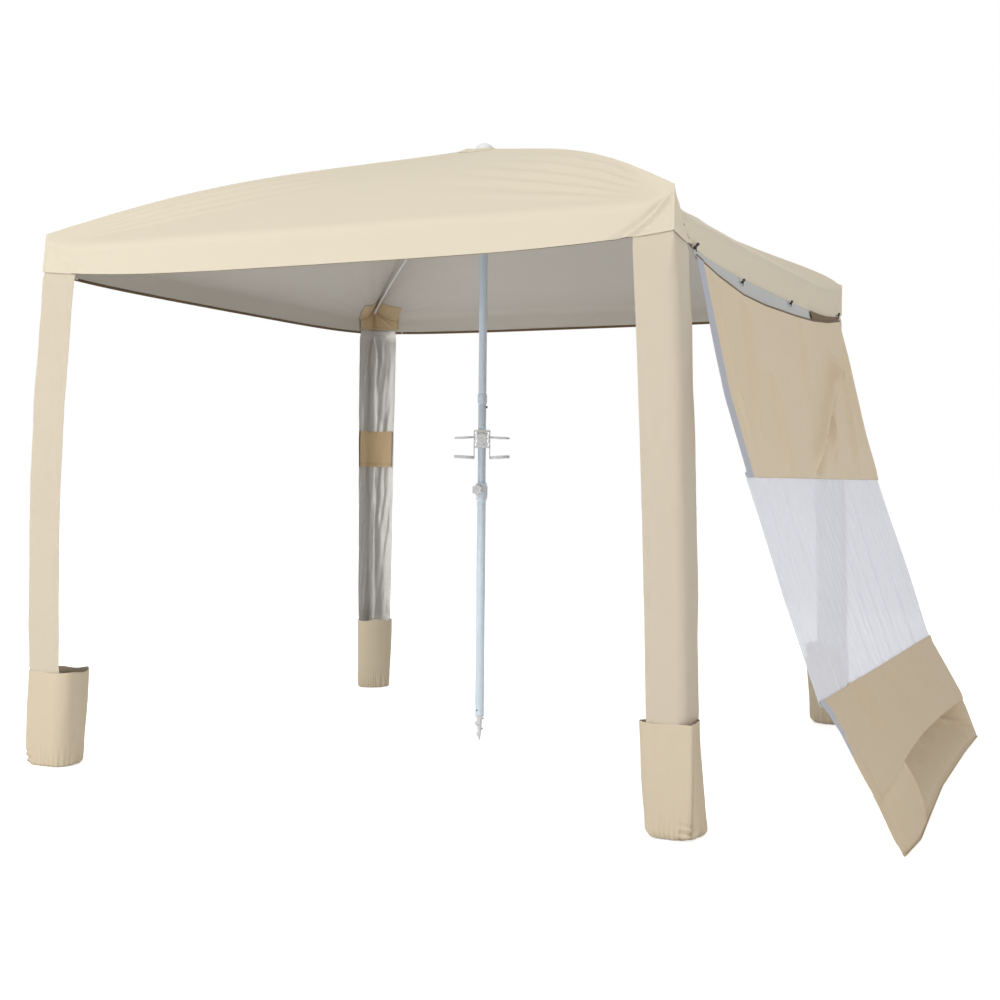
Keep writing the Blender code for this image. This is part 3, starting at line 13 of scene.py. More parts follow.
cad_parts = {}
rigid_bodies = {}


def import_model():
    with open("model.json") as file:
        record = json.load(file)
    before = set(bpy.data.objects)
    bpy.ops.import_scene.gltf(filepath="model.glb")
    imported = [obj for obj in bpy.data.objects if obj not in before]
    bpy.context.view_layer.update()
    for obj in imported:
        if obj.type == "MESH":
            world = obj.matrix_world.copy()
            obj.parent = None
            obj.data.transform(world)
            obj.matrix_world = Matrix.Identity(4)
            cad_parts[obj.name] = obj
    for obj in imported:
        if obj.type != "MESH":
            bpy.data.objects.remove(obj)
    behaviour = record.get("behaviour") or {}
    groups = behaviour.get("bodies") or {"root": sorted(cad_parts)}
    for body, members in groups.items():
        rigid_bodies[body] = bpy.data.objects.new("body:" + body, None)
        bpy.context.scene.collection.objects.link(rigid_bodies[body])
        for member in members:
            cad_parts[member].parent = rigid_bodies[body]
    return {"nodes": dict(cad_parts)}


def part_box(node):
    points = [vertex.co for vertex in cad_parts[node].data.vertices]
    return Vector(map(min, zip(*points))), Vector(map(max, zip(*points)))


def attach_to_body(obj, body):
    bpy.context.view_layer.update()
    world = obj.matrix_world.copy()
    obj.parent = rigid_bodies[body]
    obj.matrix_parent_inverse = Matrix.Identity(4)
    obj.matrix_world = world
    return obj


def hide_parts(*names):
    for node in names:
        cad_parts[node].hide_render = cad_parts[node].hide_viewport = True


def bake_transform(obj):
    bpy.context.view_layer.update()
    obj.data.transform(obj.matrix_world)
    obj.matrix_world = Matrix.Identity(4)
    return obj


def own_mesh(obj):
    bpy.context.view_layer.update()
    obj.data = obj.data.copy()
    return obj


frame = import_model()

LOG = logging.getLogger("beach_tent")
SLOTS = {name: node.data.materials[0].name for name, node in frame["nodes"].items()}
Colour = tuple[float, float, float]
Rows = list[list[Vector]]
Form = tuple[float, float, float]
Waves = tuple[Form, ...]


class Corner(Enum):
    """The four corners of the tent as signs of x and y."""

    FRONT_LEFT = ("fl", -1, -1)
    FRONT_RIGHT = ("fr", 1, -1)
    BACK_LEFT = ("bl", -1, 1)
    BACK_RIGHT = ("br", 1, 1)

    @property
    def tag(self) -> str:
        """The corner's short name."""
        return self.value[0]

    @property
    def signs(self) -> tuple[int, int]:
        """Signs of x and y."""
        return self.value[1], self.value[2]

    @property
    def body(self) -> str:
        """The body of the rib over this corner."""
        return f"rib_body_{self.tag}"

    @property
    def tangent(self) -> Vector:
        """Level direction square to the rib."""
        sx, sy = self.signs
        return Vector((-sy, sx, 0.0)).normalized()


def srgb(red: int, green: int, blue: int) -> Colour:
    """A linear colour from 8-bit display values."""
    return tuple(c / 12.92 if c <= 0.04045 else ((c + 0.055) / 1.055) ** 2.4
                 for c in (red / 255, green / 255, blue / 255))


def smooth_step(value: float) -> float:
    """An eased share from 0 to 1."""
    t = min(1.0, max(0.0, value))
    return t * t * (3 - 2 * t)


def interpolate(knots: Sequence[tuple[float, float]], place: float) -> float:
    """A height read off straight stretches between knots.

    Args:
        knots: Pairs of place and height in rising order.
        place: Where to read.

    Returns:
        The height at that place.
    """
    if place <= knots[0][0]:
        return knots[0][1]
    for (p0, h0), (p1, h1) in zip(knots, knots[1:]):
        if place <= p1:
            return h0 + (h1 - h0) * (place - p0) / (p1 - p0)
    return knots[-1][1]


def ripple(point: Vector, size: float, seed: float = 0.0) -> float:
    """Soft unevenness of cloth from -1 to 1 at a point, for waves of a given size."""
    return noise.noise(Vector((point.x / size + seed, point.y / size - seed, point.z / size + 2 * seed)))


def swells(point: Vector, waves: Waves) -> float:
    """Sum of soft waves at a point, each with its height, size and seed."""
    return sum(height * ripple(point, size, seed) for height, size, seed in waves)


# ---------------------------------------------------------------- finishes


class Wiring:
    """A material's node tree with short ways to add and join nodes."""

    def __init__(self, tree: bpy.types.NodeTree) -> None:
        """Keep the tree."""
        self.tree = tree

    def add(self, kind: str, **settings: object) -> bpy.types.Node:
        """Add a node.

        Args:
            kind: The node's type name.
            settings: Node properties, or an output or value for the input of that name, with _ for spaces.

        Returns:
            The node.
        """
        node = self.tree.nodes.new(kind)
        for name, value in settings.items():
            if hasattr(node, name):
                setattr(node, name, value)
            else:
                self.join(value, node.inputs[name.replace("_", " ")])
        return node

    def join(self, source: object, target: bpy.types.NodeSocket) -> None:
        """Link an output to an input, or give the input a plain value."""
        if isinstance(source, bpy.types.NodeSocket):
            self.tree.links.new(source, target)
        else:
            target.default_value = source

    def sum(self, operation: str, first: object, second: object, clamp: bool = False) -> bpy.types.NodeSocket:
        """A Math node.

        Args:
            operation: The operation's name.
            first: An output or a number.
            second: An output or a number.
            clamp: Keep the result between 0 and 1.

        Returns:
            The result's output.
        """
        node = self.add("ShaderNodeMath", operation=operation, use_clamp=clamp)
        for slot, value in enumerate((first, second)):
            self.join(value, node.inputs[slot])
        return node.outputs[0]

    def weigh(self, *terms: tuple[bpy.types.NodeSocket, float]) -> bpy.types.NodeSocket:
        """Sum of outputs, each times its weight."""
        total, *others = [self.sum("MULTIPLY", source, weight) for source, weight in terms]
        for part in others:
            total = self.sum("ADD", total, part)
        return total

    def vary(self, middle: object, noise_source: bpy.types.NodeSocket, swing: float) -> bpy.types.NodeSocket:
        """A value moved up and down by a noise, kept between 0 and 1."""
        return self.sum("ADD", middle, self.sum("MULTIPLY", self.sum("SUBTRACT", noise_source, 0.5), swing), True)

    def above(self, source: bpy.types.NodeSocket, level: float, gain: float) -> bpy.types.NodeSocket:
        """How far an output stands over a level, from 0 to 1."""
        return self.sum("MULTIPLY", self.sum("SUBTRACT", source, level), gain, True)

    def mix(self, share: bpy.types.NodeSocket, first: object, second: object) -> bpy.types.NodeSocket:
        """A colour between two, each an output or a colour."""
        return self.add("ShaderNodeMix", data_type="RGBA", Factor=share, A=first, B=second).outputs["Result"]

    def dress(self, shader: bpy.types.Node, depth: float, strength: float, height: bpy.types.NodeSocket,
              **values: object) -> None:
        """Give a shader its relief and its other values.

        Args:
            shader: The material's shader.
            depth: Depth of the relief in metres.
            strength: Strength of the relief.
            height: Output with the relief's height.
            values: An output or value for the input of that name, with _ for spaces.
        """
        relief = self.add("ShaderNodeBump", Height=height, Distance=depth, Strength=strength)
        for name, value in (("Normal", relief.outputs["Normal"]), *values.items()):
            self.join(value, shader.inputs[name.replace("_", " ")])


class Group:
    """A shader node group with named inputs and outputs, built once."""

    name = "group"
    inputs: tuple[tuple[str, str, object], ...] = ()
    outputs: tuple[tuple[str, str], ...] = ()

    @classmethod
    def tree(cls) -> bpy.types.NodeTree:
        """The group's tree, built at its first use."""
        found = bpy.data.node_groups.get(cls.name)
        if found:
            return found
        made = bpy.data.node_groups.new(cls.name, "ShaderNodeTree")
        for name, kind, value in cls.inputs:
            socket = made.interface.new_socket(name, in_out="INPUT", socket_type=kind)
            if value is not None:
                socket.default_value = value
        for name, kind in cls.outputs:
            made.interface.new_socket(name, in_out="OUTPUT", socket_type=kind)
        wiring = Wiring(made)
        cls.wire(wiring, wiring.add("NodeGroupInput").outputs, wiring.add("NodeGroupOutput").inputs)
        return made

    @classmethod
    def wire(cls, wiring: Wiring, given: bpy.types.NodeOutputs, wanted: bpy.types.NodeInputs) -> None:
        """Fill the tree between what the group is given and what it gives."""
        raise NotImplementedError

    @classmethod
    def place(cls, wiring: Wiring, **values: object) -> bpy.types.NodeOutputs:
        """Put the group into a material with its own values, and give its outputs."""
        return wiring.add("ShaderNodeGroup", node_tree=cls.tree(), **values).outputs


FLOAT, COLOUR, VECTOR = "NodeSocketFloat", "NodeSocketColor", "NodeSocketVector"


class WovenCloth(Group):
    """Plain weave with uneven threads and faint handling marks."""

    name = "woven_cloth"
    inputs = (("Vector", VECTOR, None), ("Colour", COLOUR, None), ("Shade", COLOUR, None), ("Thread", FLOAT, 900.0),
              ("Mottle", FLOAT, 0.3), ("Roughness", FLOAT, 0.8))
    outputs = (("Colour", COLOUR), ("Roughness", FLOAT), ("Height", FLOAT))

    @classmethod
    def wire(cls, wiring: Wiring, given: bpy.types.NodeOutputs, wanted: bpy.types.NodeInputs) -> None:
        """Two crossed thread waves, a blotch and a fine crumple."""
        threads = []
        for angle in (0.0, math.pi / 2):
            turn = wiring.add("ShaderNodeMapping", Vector=given["Vector"], Rotation=(0.0, 0.0, angle))
            wave = wiring.add("ShaderNodeTexWave", bands_direction="X", Vector=turn.outputs[0], Scale=given["Thread"],
                              Distortion=0.6, Detail=1.0)
            threads.append(wave.outputs["Fac"])
        weave = wiring.sum("MULTIPLY", *threads)
        blotch, crumple = (wiring.add("ShaderNodeTexNoise", Vector=given["Vector"], Scale=scale, Detail=detail,
                                      Roughness=roughness).outputs["Fac"]
                           for scale, detail, roughness in ((2.6, 5.0, 0.6), (38.0, 6.0, 0.65)))
        cloud = wiring.weigh((blotch, 0.7), (crumple, 0.3), (weave, 0.12))
        share = wiring.sum("MULTIPLY", cloud, given["Mottle"], True)
        wiring.join(wiring.mix(share, given["Colour"], given["Shade"]), wanted["Colour"])
        wiring.join(wiring.vary(given["Roughness"], crumple, 0.12), wanted["Roughness"])
        wiring.join(wiring.weigh((weave, 0.25), (crumple, 0.75)), wanted["Height"])


class FineGrain(Group):
    """Moulded or painted surface: fine grain, soft blotches and small rubs."""

    name = "fine_grain"
    inputs = (("Vector", VECTOR, None), ("Colour", COLOUR, None), ("Rub", COLOUR, None), ("Scale", FLOAT, 400.0),
              ("Wear", FLOAT, 0.2), ("Roughness", FLOAT, 0.4))
    outputs = (("Colour", COLOUR), ("Roughness", FLOAT), ("Height", FLOAT))

    @classmethod
    def wire(cls, wiring: Wiring, given: bpy.types.NodeOutputs, wanted: bpy.types.NodeInputs) -> None:
        """A grain for the height and a cloudy mask for rubs."""
        grain = wiring.add("ShaderNodeTexNoise", Vector=given["Vector"], Scale=given["Scale"], Detail=3.0,
                           Roughness=0.6)
        cloud = wiring.add("ShaderNodeTexNoise", Vector=given["Vector"], Scale=24.0, Detail=8.0, Roughness=0.7)
        mask = wiring.sum("MULTIPLY", wiring.above(cloud.outputs["Fac"], 0.45, 4.0), given["Wear"], True)
        wiring.join(wiring.mix(mask, given["Colour"], given["Rub"]), wanted["Colour"])
        rough = wiring.vary(given["Roughness"], grain.outputs["Fac"], 0.15)
        wiring.join(wiring.sum("ADD", rough, wiring.sum("MULTIPLY", mask, 0.2), True), wanted["Roughness"])
        wiring.join(grain.outputs["Fac"], wanted["Height"])


class StitchLines(Group):
    """Rows of stitches at set distances from a hem, from coordinates measured along and up from the hem."""

    name = "stitch_lines"
    inputs = (("Vector", VECTOR, None), ("First", FLOAT, 0.012), ("Second", FLOAT, 0.017), ("Pitch", FLOAT, 0.0045),
              ("Width", FLOAT, 0.0006))
    outputs = (("Mask", FLOAT),)
    dash_share = 0.7

    @classmethod
    def wire(cls, wiring: Wiring, given: bpy.types.NodeOutputs, wanted: bpy.types.NodeInputs) -> None:
        """A dash along the hem times a narrow line at either distance."""
        split = wiring.add("ShaderNodeSeparateXYZ", Vector=given["Vector"]).outputs
        lines = []
        for name in ("First", "Second"):
            away = wiring.sum("ABSOLUTE", wiring.sum("SUBTRACT", split["Y"], given[name]), 0.0)
            lines.append(wiring.sum("LESS_THAN", away, given["Width"]))
        beat = wiring.sum("FRACT", wiring.sum("DIVIDE", split["X"], given["Pitch"]), 0.0)
        dash = wiring.sum("LESS_THAN", beat, cls.dash_share)
        wiring.join(wiring.sum("MULTIPLY", wiring.sum("ADD", *lines, True), dash), wanted["Mask"])


@dataclass(frozen=True)
class Surface:
    """A finish with a procedural material of its own.

    Attributes:
        name: The finish's name.
        colour: Its colour.
    """

    name: str
    colour: Colour

    def make(self) -> bpy.types.Material:
        """The material, built at its first use."""
        found = bpy.data.materials.get(self.name)
        if found:
            return found
        made = bpy.data.materials.new(self.name)
        made.use_nodes = True
        wiring = Wiring(made.node_tree)
        self.wire(wiring, made.node_tree.nodes["Principled BSDF"], wiring.add("ShaderNodeTexCoord").outputs)
        return made

    def wire(self, wiring: Wiring, shader: bpy.types.Node, places: bpy.types.NodeOutputs) -> None:
        """Fill the material's tree from its coordinates to its shader."""
        raise NotImplementedError


@dataclass(frozen=True)
class ClothFinish(Surface):
    """Coated tent cloth with a weave, stitches along its hem and a soft sheen.

    Attributes:
        shade: The colour in worn and shaded threads.
        roughness: Mean roughness.
        sheen: Weight of the fibre sheen.
        bump: Depth of the weave and crumple in metres.
        metallic: Share of metal in its coating.
        stitch: Colour of the stitches, or None for none.
        opacity: Share of light that the cloth stops.
        thread: Threads to a metre, as the weave's scale.
    """

    shade: Colour
    roughness: float = 0.82
    sheen: float = 0.12
    bump: float = 0.0008
    metallic: float = 0.0
    stitch: Colour | None = None
    opacity: float = 1.0
    thread: float = 900.0

    def wire(self, wiring: Wiring, shader: bpy.types.Node, places: bpy.types.NodeOutputs) -> None:
        """Woven cloth with its stitches and, for an open mesh, its holes."""
        cloth = WovenCloth.place(wiring, Vector=places["UV"], Colour=(*self.colour, 1.0), Shade=(*self.shade, 1.0),
                                 Roughness=self.roughness, Thread=self.thread)
        colour, height = cloth["Colour"], cloth["Height"]
        if self.stitch:
            mask = StitchLines.place(wiring, Vector=places["UV"])["Mask"]
            colour = wiring.mix(mask, colour, (*self.stitch, 1.0))
            height = wiring.sum("ADD", height, wiring.sum("MULTIPLY", mask, 0.8))
        wiring.dress(shader, self.bump, 0.6, height, Base_Color=colour, Roughness=cloth["Roughness"],
                     Metallic=self.metallic, Sheen_Weight=self.sheen, Sheen_Roughness=0.5, Specular_IOR_Level=0.25)
        if self.opacity < 1:
            wiring.join(self.holes(wiring, places["UV"]), shader.inputs["Alpha"])

    def holes(self, wiring: Wiring, place: bpy.types.NodeSocket, contrast: float = 0.24) -> bpy.types.NodeSocket:
        """Openings of an open mesh, closer where it folds.

        Args:
            wiring: The material's wiring.
            place: Its coordinates.
            contrast: How much more a thread stops than a hole.

        Returns:
            The share of light stopped at each point.
        """
        cells = wiring.add("ShaderNodeTexVoronoi", Vector=place, Scale=self.thread, Randomness=0.15)
        thread = wiring.sum("GREATER_THAN", cells.outputs["Distance"], 0.36)
        plain = wiring.sum("ADD", wiring.sum("MULTIPLY", thread, contrast), self.opacity - contrast / 2, True)
        stretch = wiring.add("ShaderNodeMapping", Vector=place, Scale=(34.0, 0.5, 1.0), Rotation=(0.0, 0.0, 0.05))
        streak = wiring.add("ShaderNodeTexNoise", Vector=stretch.outputs[0], Scale=1.0, Detail=3.0, Roughness=0.55)
        folds = wiring.above(streak.outputs["Fac"], 0.56, 4.5)
        return wiring.sum("ADD", plain, wiring.sum("MULTIPLY", folds, 0.30), True)


@dataclass(frozen=True)
class HardFinish(Surface):
    """A moulded, painted or bare metal surface with grain and small rubs.

    Attributes:
        rub: Colour of rubbed places.
        roughness: Mean roughness.
        metallic: 1 for bare metal.
        coat: Weight of a clear coat.
        scale: Fineness of the grain.
        wear: Strength of the rubs.
        bump: Depth of the grain in metres.
    """

    rub: Colour
    roughness: float = 0.4
    metallic: float = 0.0
    coat: float = 0.0
    scale: float = 400.0
    wear: float = 0.25
    bump: float = 0.00015

    def wire(self, wiring: Wiring, shader: bpy.types.Node, places: bpy.types.NodeOutputs) -> None:
        """Fine grain with rubs under a clear coat."""
        grain = FineGrain.place(wiring, Vector=places["Object"], Colour=(*self.colour, 1.0), Rub=(*self.rub, 1.0),
                                Scale=self.scale, Wear=self.wear, Roughness=self.roughness)
        wiring.dress(shader, self.bump, 0.5, grain["Height"], Base_Color=grain["Colour"],
                     Roughness=grain["Roughness"], Metallic=self.metallic, Coat_Weight=self.coat, Coat_Roughness=0.12)


class Finish(Enum):
    """Every finish on the tent."""

    CANOPY = ClothFinish("canopy_cloth", srgb(222, 212, 191), srgb(204, 192, 168), stitch=srgb(196, 182, 154))
    LEG = ClothFinish("leg_cloth", srgb(208, 196, 175), srgb(190, 176, 151), stitch=srgb(178, 162, 134))
    POCKET = ClothFinish("pocket_cloth", srgb(202, 188, 162), srgb(184, 168, 139), bump=0.0011,
                         stitch=srgb(172, 156, 126))
    POCKET_IN = ClothFinish("pocket_inside", srgb(190, 178, 156), srgb(170, 156, 132), bump=0.0009)
    WALL = ClothFinish("wall_cloth", srgb(220, 203, 174), srgb(202, 184, 152), stitch=srgb(190, 172, 140))
    LOWER_WALL = ClothFinish("lower_wall_cloth", srgb(206, 188, 158), srgb(186, 167, 134), bump=0.0011,
                             stitch=srgb(176, 158, 126))
    LOWER_WALL_IN = ClothFinish("lower_wall_inside", srgb(196, 180, 152), srgb(178, 160, 130), bump=0.0009)
    TAN = ClothFinish("tan_patch_cloth", srgb(204, 180, 142), srgb(180, 157, 118), stitch=srgb(146, 122, 86))
    SILVER = ClothFinish("silver_coating", srgb(202, 197, 187), srgb(178, 173, 164), roughness=0.55, sheen=0.0,
                         bump=0.0005)
    SILVER_LEG = ClothFinish("silver_leg_lining", srgb(200, 198, 193), srgb(182, 180, 175), roughness=0.36, sheen=0.0,
                             bump=0.0004,
                              metallic=0.65)
    # The silver header strip, a darker copy of the silver cloth: the darkening is painted shade.
    SILVER_STRIP = ClothFinish("silver_strip", srgb(190, 190, 186), srgb(164, 164, 160), roughness=0.55, sheen=0.0,
                               bump=0.0007)
    # The silver lining turned out at the wall's front edge, darker and bluer than the lining: its colour carries
    # painted shade.
    TURNED_EDGE = ClothFinish("silver_turned_edge", srgb(176, 178, 186), srgb(156, 158, 166), roughness=0.5,
                              sheen=0.0, bump=0.0006)
    BINDING = ClothFinish("brown_binding", srgb(112, 92, 66), srgb(84, 68, 48), roughness=0.85, bump=0.0009)
    HOOK_LOOP = ClothFinish("brown_hook_loop", srgb(116, 96, 68), srgb(82, 66, 44), roughness=0.95, sheen=0.4,
                            bump=0.0022, thread=420.0)
    NET = ClothFinish("white_net", srgb(240, 241, 246), srgb(224, 227, 234), roughness=0.75, sheen=0.1, opacity=0.64,
                      thread=620.0)
    BLACK_PLASTIC = HardFinish("black_plastic", srgb(26, 26, 28), srgb(58, 57, 58), roughness=0.45)
    # One blue-white pole paint in two copies: the lower section's is lightened as painted light, the middle and upper
    # sections' and the collar's darkened as painted shade.
    TUBE_LOWER = HardFinish("lower_tube_paint", srgb(224, 239, 249), srgb(204, 219, 231), roughness=0.3, coat=0.4,
                            scale=900.0)
    TUBE_UPPER = HardFinish("upper_tube_paint", srgb(202, 215, 226), srgb(182, 195, 207), roughness=0.32, coat=0.35,
                            scale=900.0)
    WHITE_ROD = HardFinish("white_rod_paint", srgb(232, 231, 228), srgb(208, 206, 202), roughness=0.35, coat=0.2,
                           scale=1200.0)
    WHITE_PLASTIC = HardFinish("white_plastic", srgb(240, 241, 240), srgb(222, 222, 220), roughness=0.38)
    CLAMP_PLASTIC = HardFinish("clamp_plastic", srgb(226, 234, 240), srgb(206, 214, 221), roughness=0.4)
    STEEL = HardFinish("bright_steel", srgb(176, 178, 182), srgb(140, 142, 146), roughness=0.32, metallic=1.0,
                       scale=1500.0)

    def look(self) -> bpy.types.Material:
        """The finish's material."""
        return self.value.make()


# ---------------------------------------------------------------- cloth


@dataclass
class ClothCut:
    """A sheet of cloth over rows of points.

    Attributes:
        name: The piece's name.
        rows: Rows of points from the top down.
        outer: The finish on the outer side.
        inner: The finish on the inner side.
        edges: The finishes of bindings and turned edges.
        pick: Says which of them the face at a row and column has, counted from 1, or 0 for none.
        thickness: Thickness of the cloth.
        flip: Turn the faces over.
        closed: Join the last column to the first.
    """

    name: str
    rows: Rows
    outer: Finish
    inner: Finish
    edges: tuple[Finish, ...] = ()
    pick: Callable[[int, int], int] | None = None
    thickness: float = 0.0012
    flip: bool = False
    closed: bool = False

    def build(self) -> bpy.types.Object:
        """The cloth as a solid sheet with its map in metres.

        Returns:
            The object, at the origin with its place in its mesh.
        """
        rows = self.rows
        count = len(rows[0])
        width = count if self.closed else count - 1
        mesh = bpy.data.meshes.new(self.name)
        faces, corners = [], []
        for i in range(len(rows) - 1):
            for j in range(width):
                k = (j + 1) % count
                face = [(i, j), (i, k), (i + 1, k), (i + 1, j)]
                places = [(i, j), (i, j + 1), (i + 1, j + 1), (i + 1, j)]
                if self.flip:
                    face, places = face[::-1], places[::-1]
                faces.append([a * count + b for a, b in face])
                corners.append(places)
        mesh.from_pydata([tuple(p) for row in rows for p in row], [], faces)
        across, down = self.measure()
        layer = mesh.uv_layers.new(name="cloth_map")
        for polygon, places in zip(mesh.polygons, corners):
            for loop, (i, j) in zip(polygon.loop_indices, places):
                layer.data[loop].uv = (across[j], down[i])
            if self.pick:
                polygon.material_index = 2 * self.pick(*min(places))
        looks = [self.outer, self.inner]
        for edge in self.edges:
            looks += [edge, self.inner]
        for finish in looks:
            mesh.materials.append(finish.look())
        obj = bpy.data.objects.new(self.name, mesh)
        bpy.context.scene.collection.objects.link(obj)
        solid = obj.modifiers.new("Thickness", "SOLIDIFY")
        solid.thickness = self.thickness
        solid.offset = -1.0
        solid.material_offset = 1
        solid.material_offset_rim = 0
        apply_modifiers(obj)
        obj.data.shade_smooth()
        obj.data.set_sharp_from_angle(angle=math.radians(50))
        return obj

    def measure(self) -> tuple[list[float], list[float]]:
        """Distances in metres across the middle row, and up from the hem along the middle column."""
        rows = self.rows
        middle = rows[len(rows) // 2]
        ring = middle + middle[:1] if self.closed else middle
        across = [0.0]
        for one, two in zip(ring, ring[1:]):
            across.append(across[-1] + (two - one).length)
        column = [row[len(row) // 2] for row in rows]
        down = [0.0]
        for low, high in zip(column[::-1], column[-2::-1]):
            down.append(down[-1] + (high - low).length)
        return across, down[::-1]


def apply_modifiers(obj: bpy.types.Object) -> None:
    """Apply every modifier of a piece."""
    bpy.ops.object.select_all(action="DESELECT")
    bpy.context.view_layer.objects.active = obj
    obj.select_set(True)
    for change in list(obj.modifiers):
        bpy.ops.object.modifier_apply(modifier=change.name)
    obj.select_set(False)


def attach(obj: bpy.types.Object, slot: str, node: str | None = None, body: str | None = None) -> None:
    """Hang a piece on the body that it rides, and hide the node that it stands for."""
    if body:
        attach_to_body(obj, body)
    if node:
        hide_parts(node)


def body_of(node: str) -> str:
    """Name of the body that carries a node."""
    return frame["nodes"][node].parent.name.removeprefix("body:")


def crease(away: float, width: float) -> float:
    """Height from 0 to 1 of a rounded crease at a distance from its line."""
    return math.exp(-((away / width) ** 2))


def fold(where: float, form: Form) -> float:
    """Height at a distance of a crease that is given by its height, place and width."""
    height, place, width = form
    return height * crease(where - place, width)


@dataclass
class Fan:
    """Creases that spread from a point where cloth is pulled.

    Attributes:
        rays: Triples of angle in degrees, angular width in degrees and height in metres.
        start: Distance at which the creases begin.
        peak: Distance at which they are highest.
        reach: Distance at which they have run out.
    """

    rays: tuple[tuple[float, float, float], ...]
    start: float = 0.02
    peak: float = 0.16
    reach: float = 0.9

    def height(self, along: float, inward: float) -> float:
        """Height of the cloth's creases at a place measured from the pulled point."""
        away = math.hypot(along, inward)
        if away < self.start or away > self.reach:
            return 0.0
        rise = smooth_step((away - self.start) / (self.peak - self.start))
        fade = 1 - smooth_step((away - self.peak) / (self.reach - self.peak))
        angle = math.degrees(math.atan2(inward, along))
        total = sum(height * crease(angle - ray, width) for ray, width, height in self.rays)
        return total * rise * fade


@dataclass
class Canopy:
    """The square canopy: four quarters of roof and valance, corner patches and the crown patch."""

    half: float = 1.0
    crown_half: float = 0.042
    hole_half: float = 0.021
    apex: float = 1.9945
    corner_top: float = 1.621
    bow: float = 0.041
    back_right_bow: float = 0.014
    mid_drop: float = 0.042
    edge_round: float = 0.020
    hem_corner: float = 1.510
    hem_fold: float = 0.008
    left_flare: float = 0.014
    hem_stand: float = 0.0021
    roof_rows: int = 92
    gore_columns: int = 62
    valance_rows: int = 20
    roof_waves: Waves = ((0.0026, 0.34, 3.0), (0.0011, 0.12, 7.0))
    front_fans: dict[Corner, Fan] = field(default_factory=lambda: {
        Corner.FRONT_RIGHT: Fan(((39.6, 1.7, 0.0115), (34.2, 1.8, 0.0165), (28.2, 1.9, 0.0150), (21.8, 2.1, 0.0120),
                                 (14.0, 2.4, 0.0070)), start=0.08, peak=0.34, reach=1.05),
        Corner.FRONT_LEFT: Fan(((40.0, 1.5, 0.0075), (35.0, 1.6, 0.0100), (29.6, 1.7, 0.0085), (23.6, 1.9, 0.0060)),
                               start=0.06, peak=0.36, reach=1.15)})
    pleat: tuple[float, float] = (0.0035, 0.0022)
    pulled_pleat: tuple[float, float] = (0.0075, 0.0055)
    pleat_widths: tuple[float, float, float] = (0.010, 0.024, 0.016)
    corner_seam: Form = (0.0016, 0.011, 0.004)
    leg_step: Form = (0.0012, 0.93, 0.05)
    valance_waves: Waves = ((0.0030, 0.19, 11.0),)
    welt_height: float = 0.0011
    sags: dict[str, float] = field(default_factory=lambda: {
        "front": 0.031, "right": 0.043, "left": 0.020, "back": 0.012})
    right_edge: tuple[tuple[float, float], ...] = ((-1.0, -0.006), (-0.97, -0.010), (-0.94, -0.020), (-0.786, -0.018),
                                                   (-0.42, -0.017), (0.1, -0.015), (0.3, -0.010), (0.6, -0.005),
                                                   (0.74, 0.000), (0.87, 0.013), (0.94, 0.013), (0.975, 0.007),
                                                   (1.0, -0.010))
    keep: float = 0.14
    slant: float = 1.06
    valance: float = 0.118
    ridge_skew: float = 1.3
    pleat_lean: float = 0.130
    bound_share: float = 0.88
    turned_hem: float = 0.0012
    pin: tuple[float, float] = (0.035, 1.955)
    patch_share: float = 0.945
    patch_inset: float = 0.0036
    patch_clear: float = 0.0028
    patch_foot: float = 0.016
    patch_rows: tuple[int, int] = (8, 20)
    patch_columns: int = 33
    crown_radii: tuple[float, float] = (0.022, 0.098)
    crown_grid: tuple[int, int] = (15, 72)
    crown_lift: float = 0.0016
    puff: float = 0.0042
    puff_radius: float = 0.062
    cap_radius: float = 0.036

    def columns(self) -> list[float]:
        """Shares across a gore from mid side to the ridge, closer together toward the ridge."""
        return [1 - (1 - j / (self.gore_columns - 1)) ** 1.5 for j in range(self.gore_columns)]

    @staticmethod
    def ways(columns: list[float]) -> list[tuple[float, bool]]:
        """Shares across one gore and back across the other, each with its side."""
        return [(c, True) for c in columns] + [(c, False) for c in columns[-2::-1]]

    def ridge(self, share: float, bow: float | None = None) -> float:
        """Height of the ridge at a share of the way to the corner."""
        rise = self.bow if bow is None else bow
        arch = rise * math.sin(math.pi * min(1.0, share) ** self.ridge_skew)
        return self.apex + (self.corner_top - self.apex) * share + arch

    def hem(self, corner: Corner, along: float, along_x: bool) -> float:
        """Height of the valance's hem at a distance along its side."""
        sx, sy = corner.signs
        side = ("front" if sy < 0 else "back") if along_x else ("right" if sx > 0 else "left")
        return self.hem_corner - self.sags[side] * (1 - along ** 4)

    def roof_point(self, corner: Corner, share: float, across: float, along_x: bool) -> Vector:
        """A point of the smooth roof.

        Args:
            corner: The quarter.
            share: From 0 at the crown to 1 at the edge, and below 0 for the hole.
            across: From 0 at mid side to 1 at the ridge.
            along_x: True on the front or back gore.

        Returns:
            The point.
        """
        sx, sy = corner.signs
        rise = max(0.0, share)
        u = self.crown_half + (self.half - self.crown_half) * share if share >= 0 else self.hole_half
        own_bow = self.back_right_bow if corner is Corner.BACK_RIGHT else self.bow
        bow = self.bow + (own_bow - self.bow) * smooth_step(across)
        z = self.ridge(rise, bow) - self.mid_drop * rise * (1 - across ** (3 + 27 * rise ** 6))
        x, y = (u * across, u) if along_x else (u, u * across)
        if sx > 0 and not along_x:
            z += interpolate(self.right_edge, sy * y) * rise ** 3
        past = max(0.0, u - self.half + self.edge_round) / self.edge_round
        z -= self.edge_round * (1 - math.sqrt(1 - min(1.0, past) ** 2)) * (1 - smooth_step((across - 0.86) / 0.14))
        return Vector((sx * x, sy * y, z))

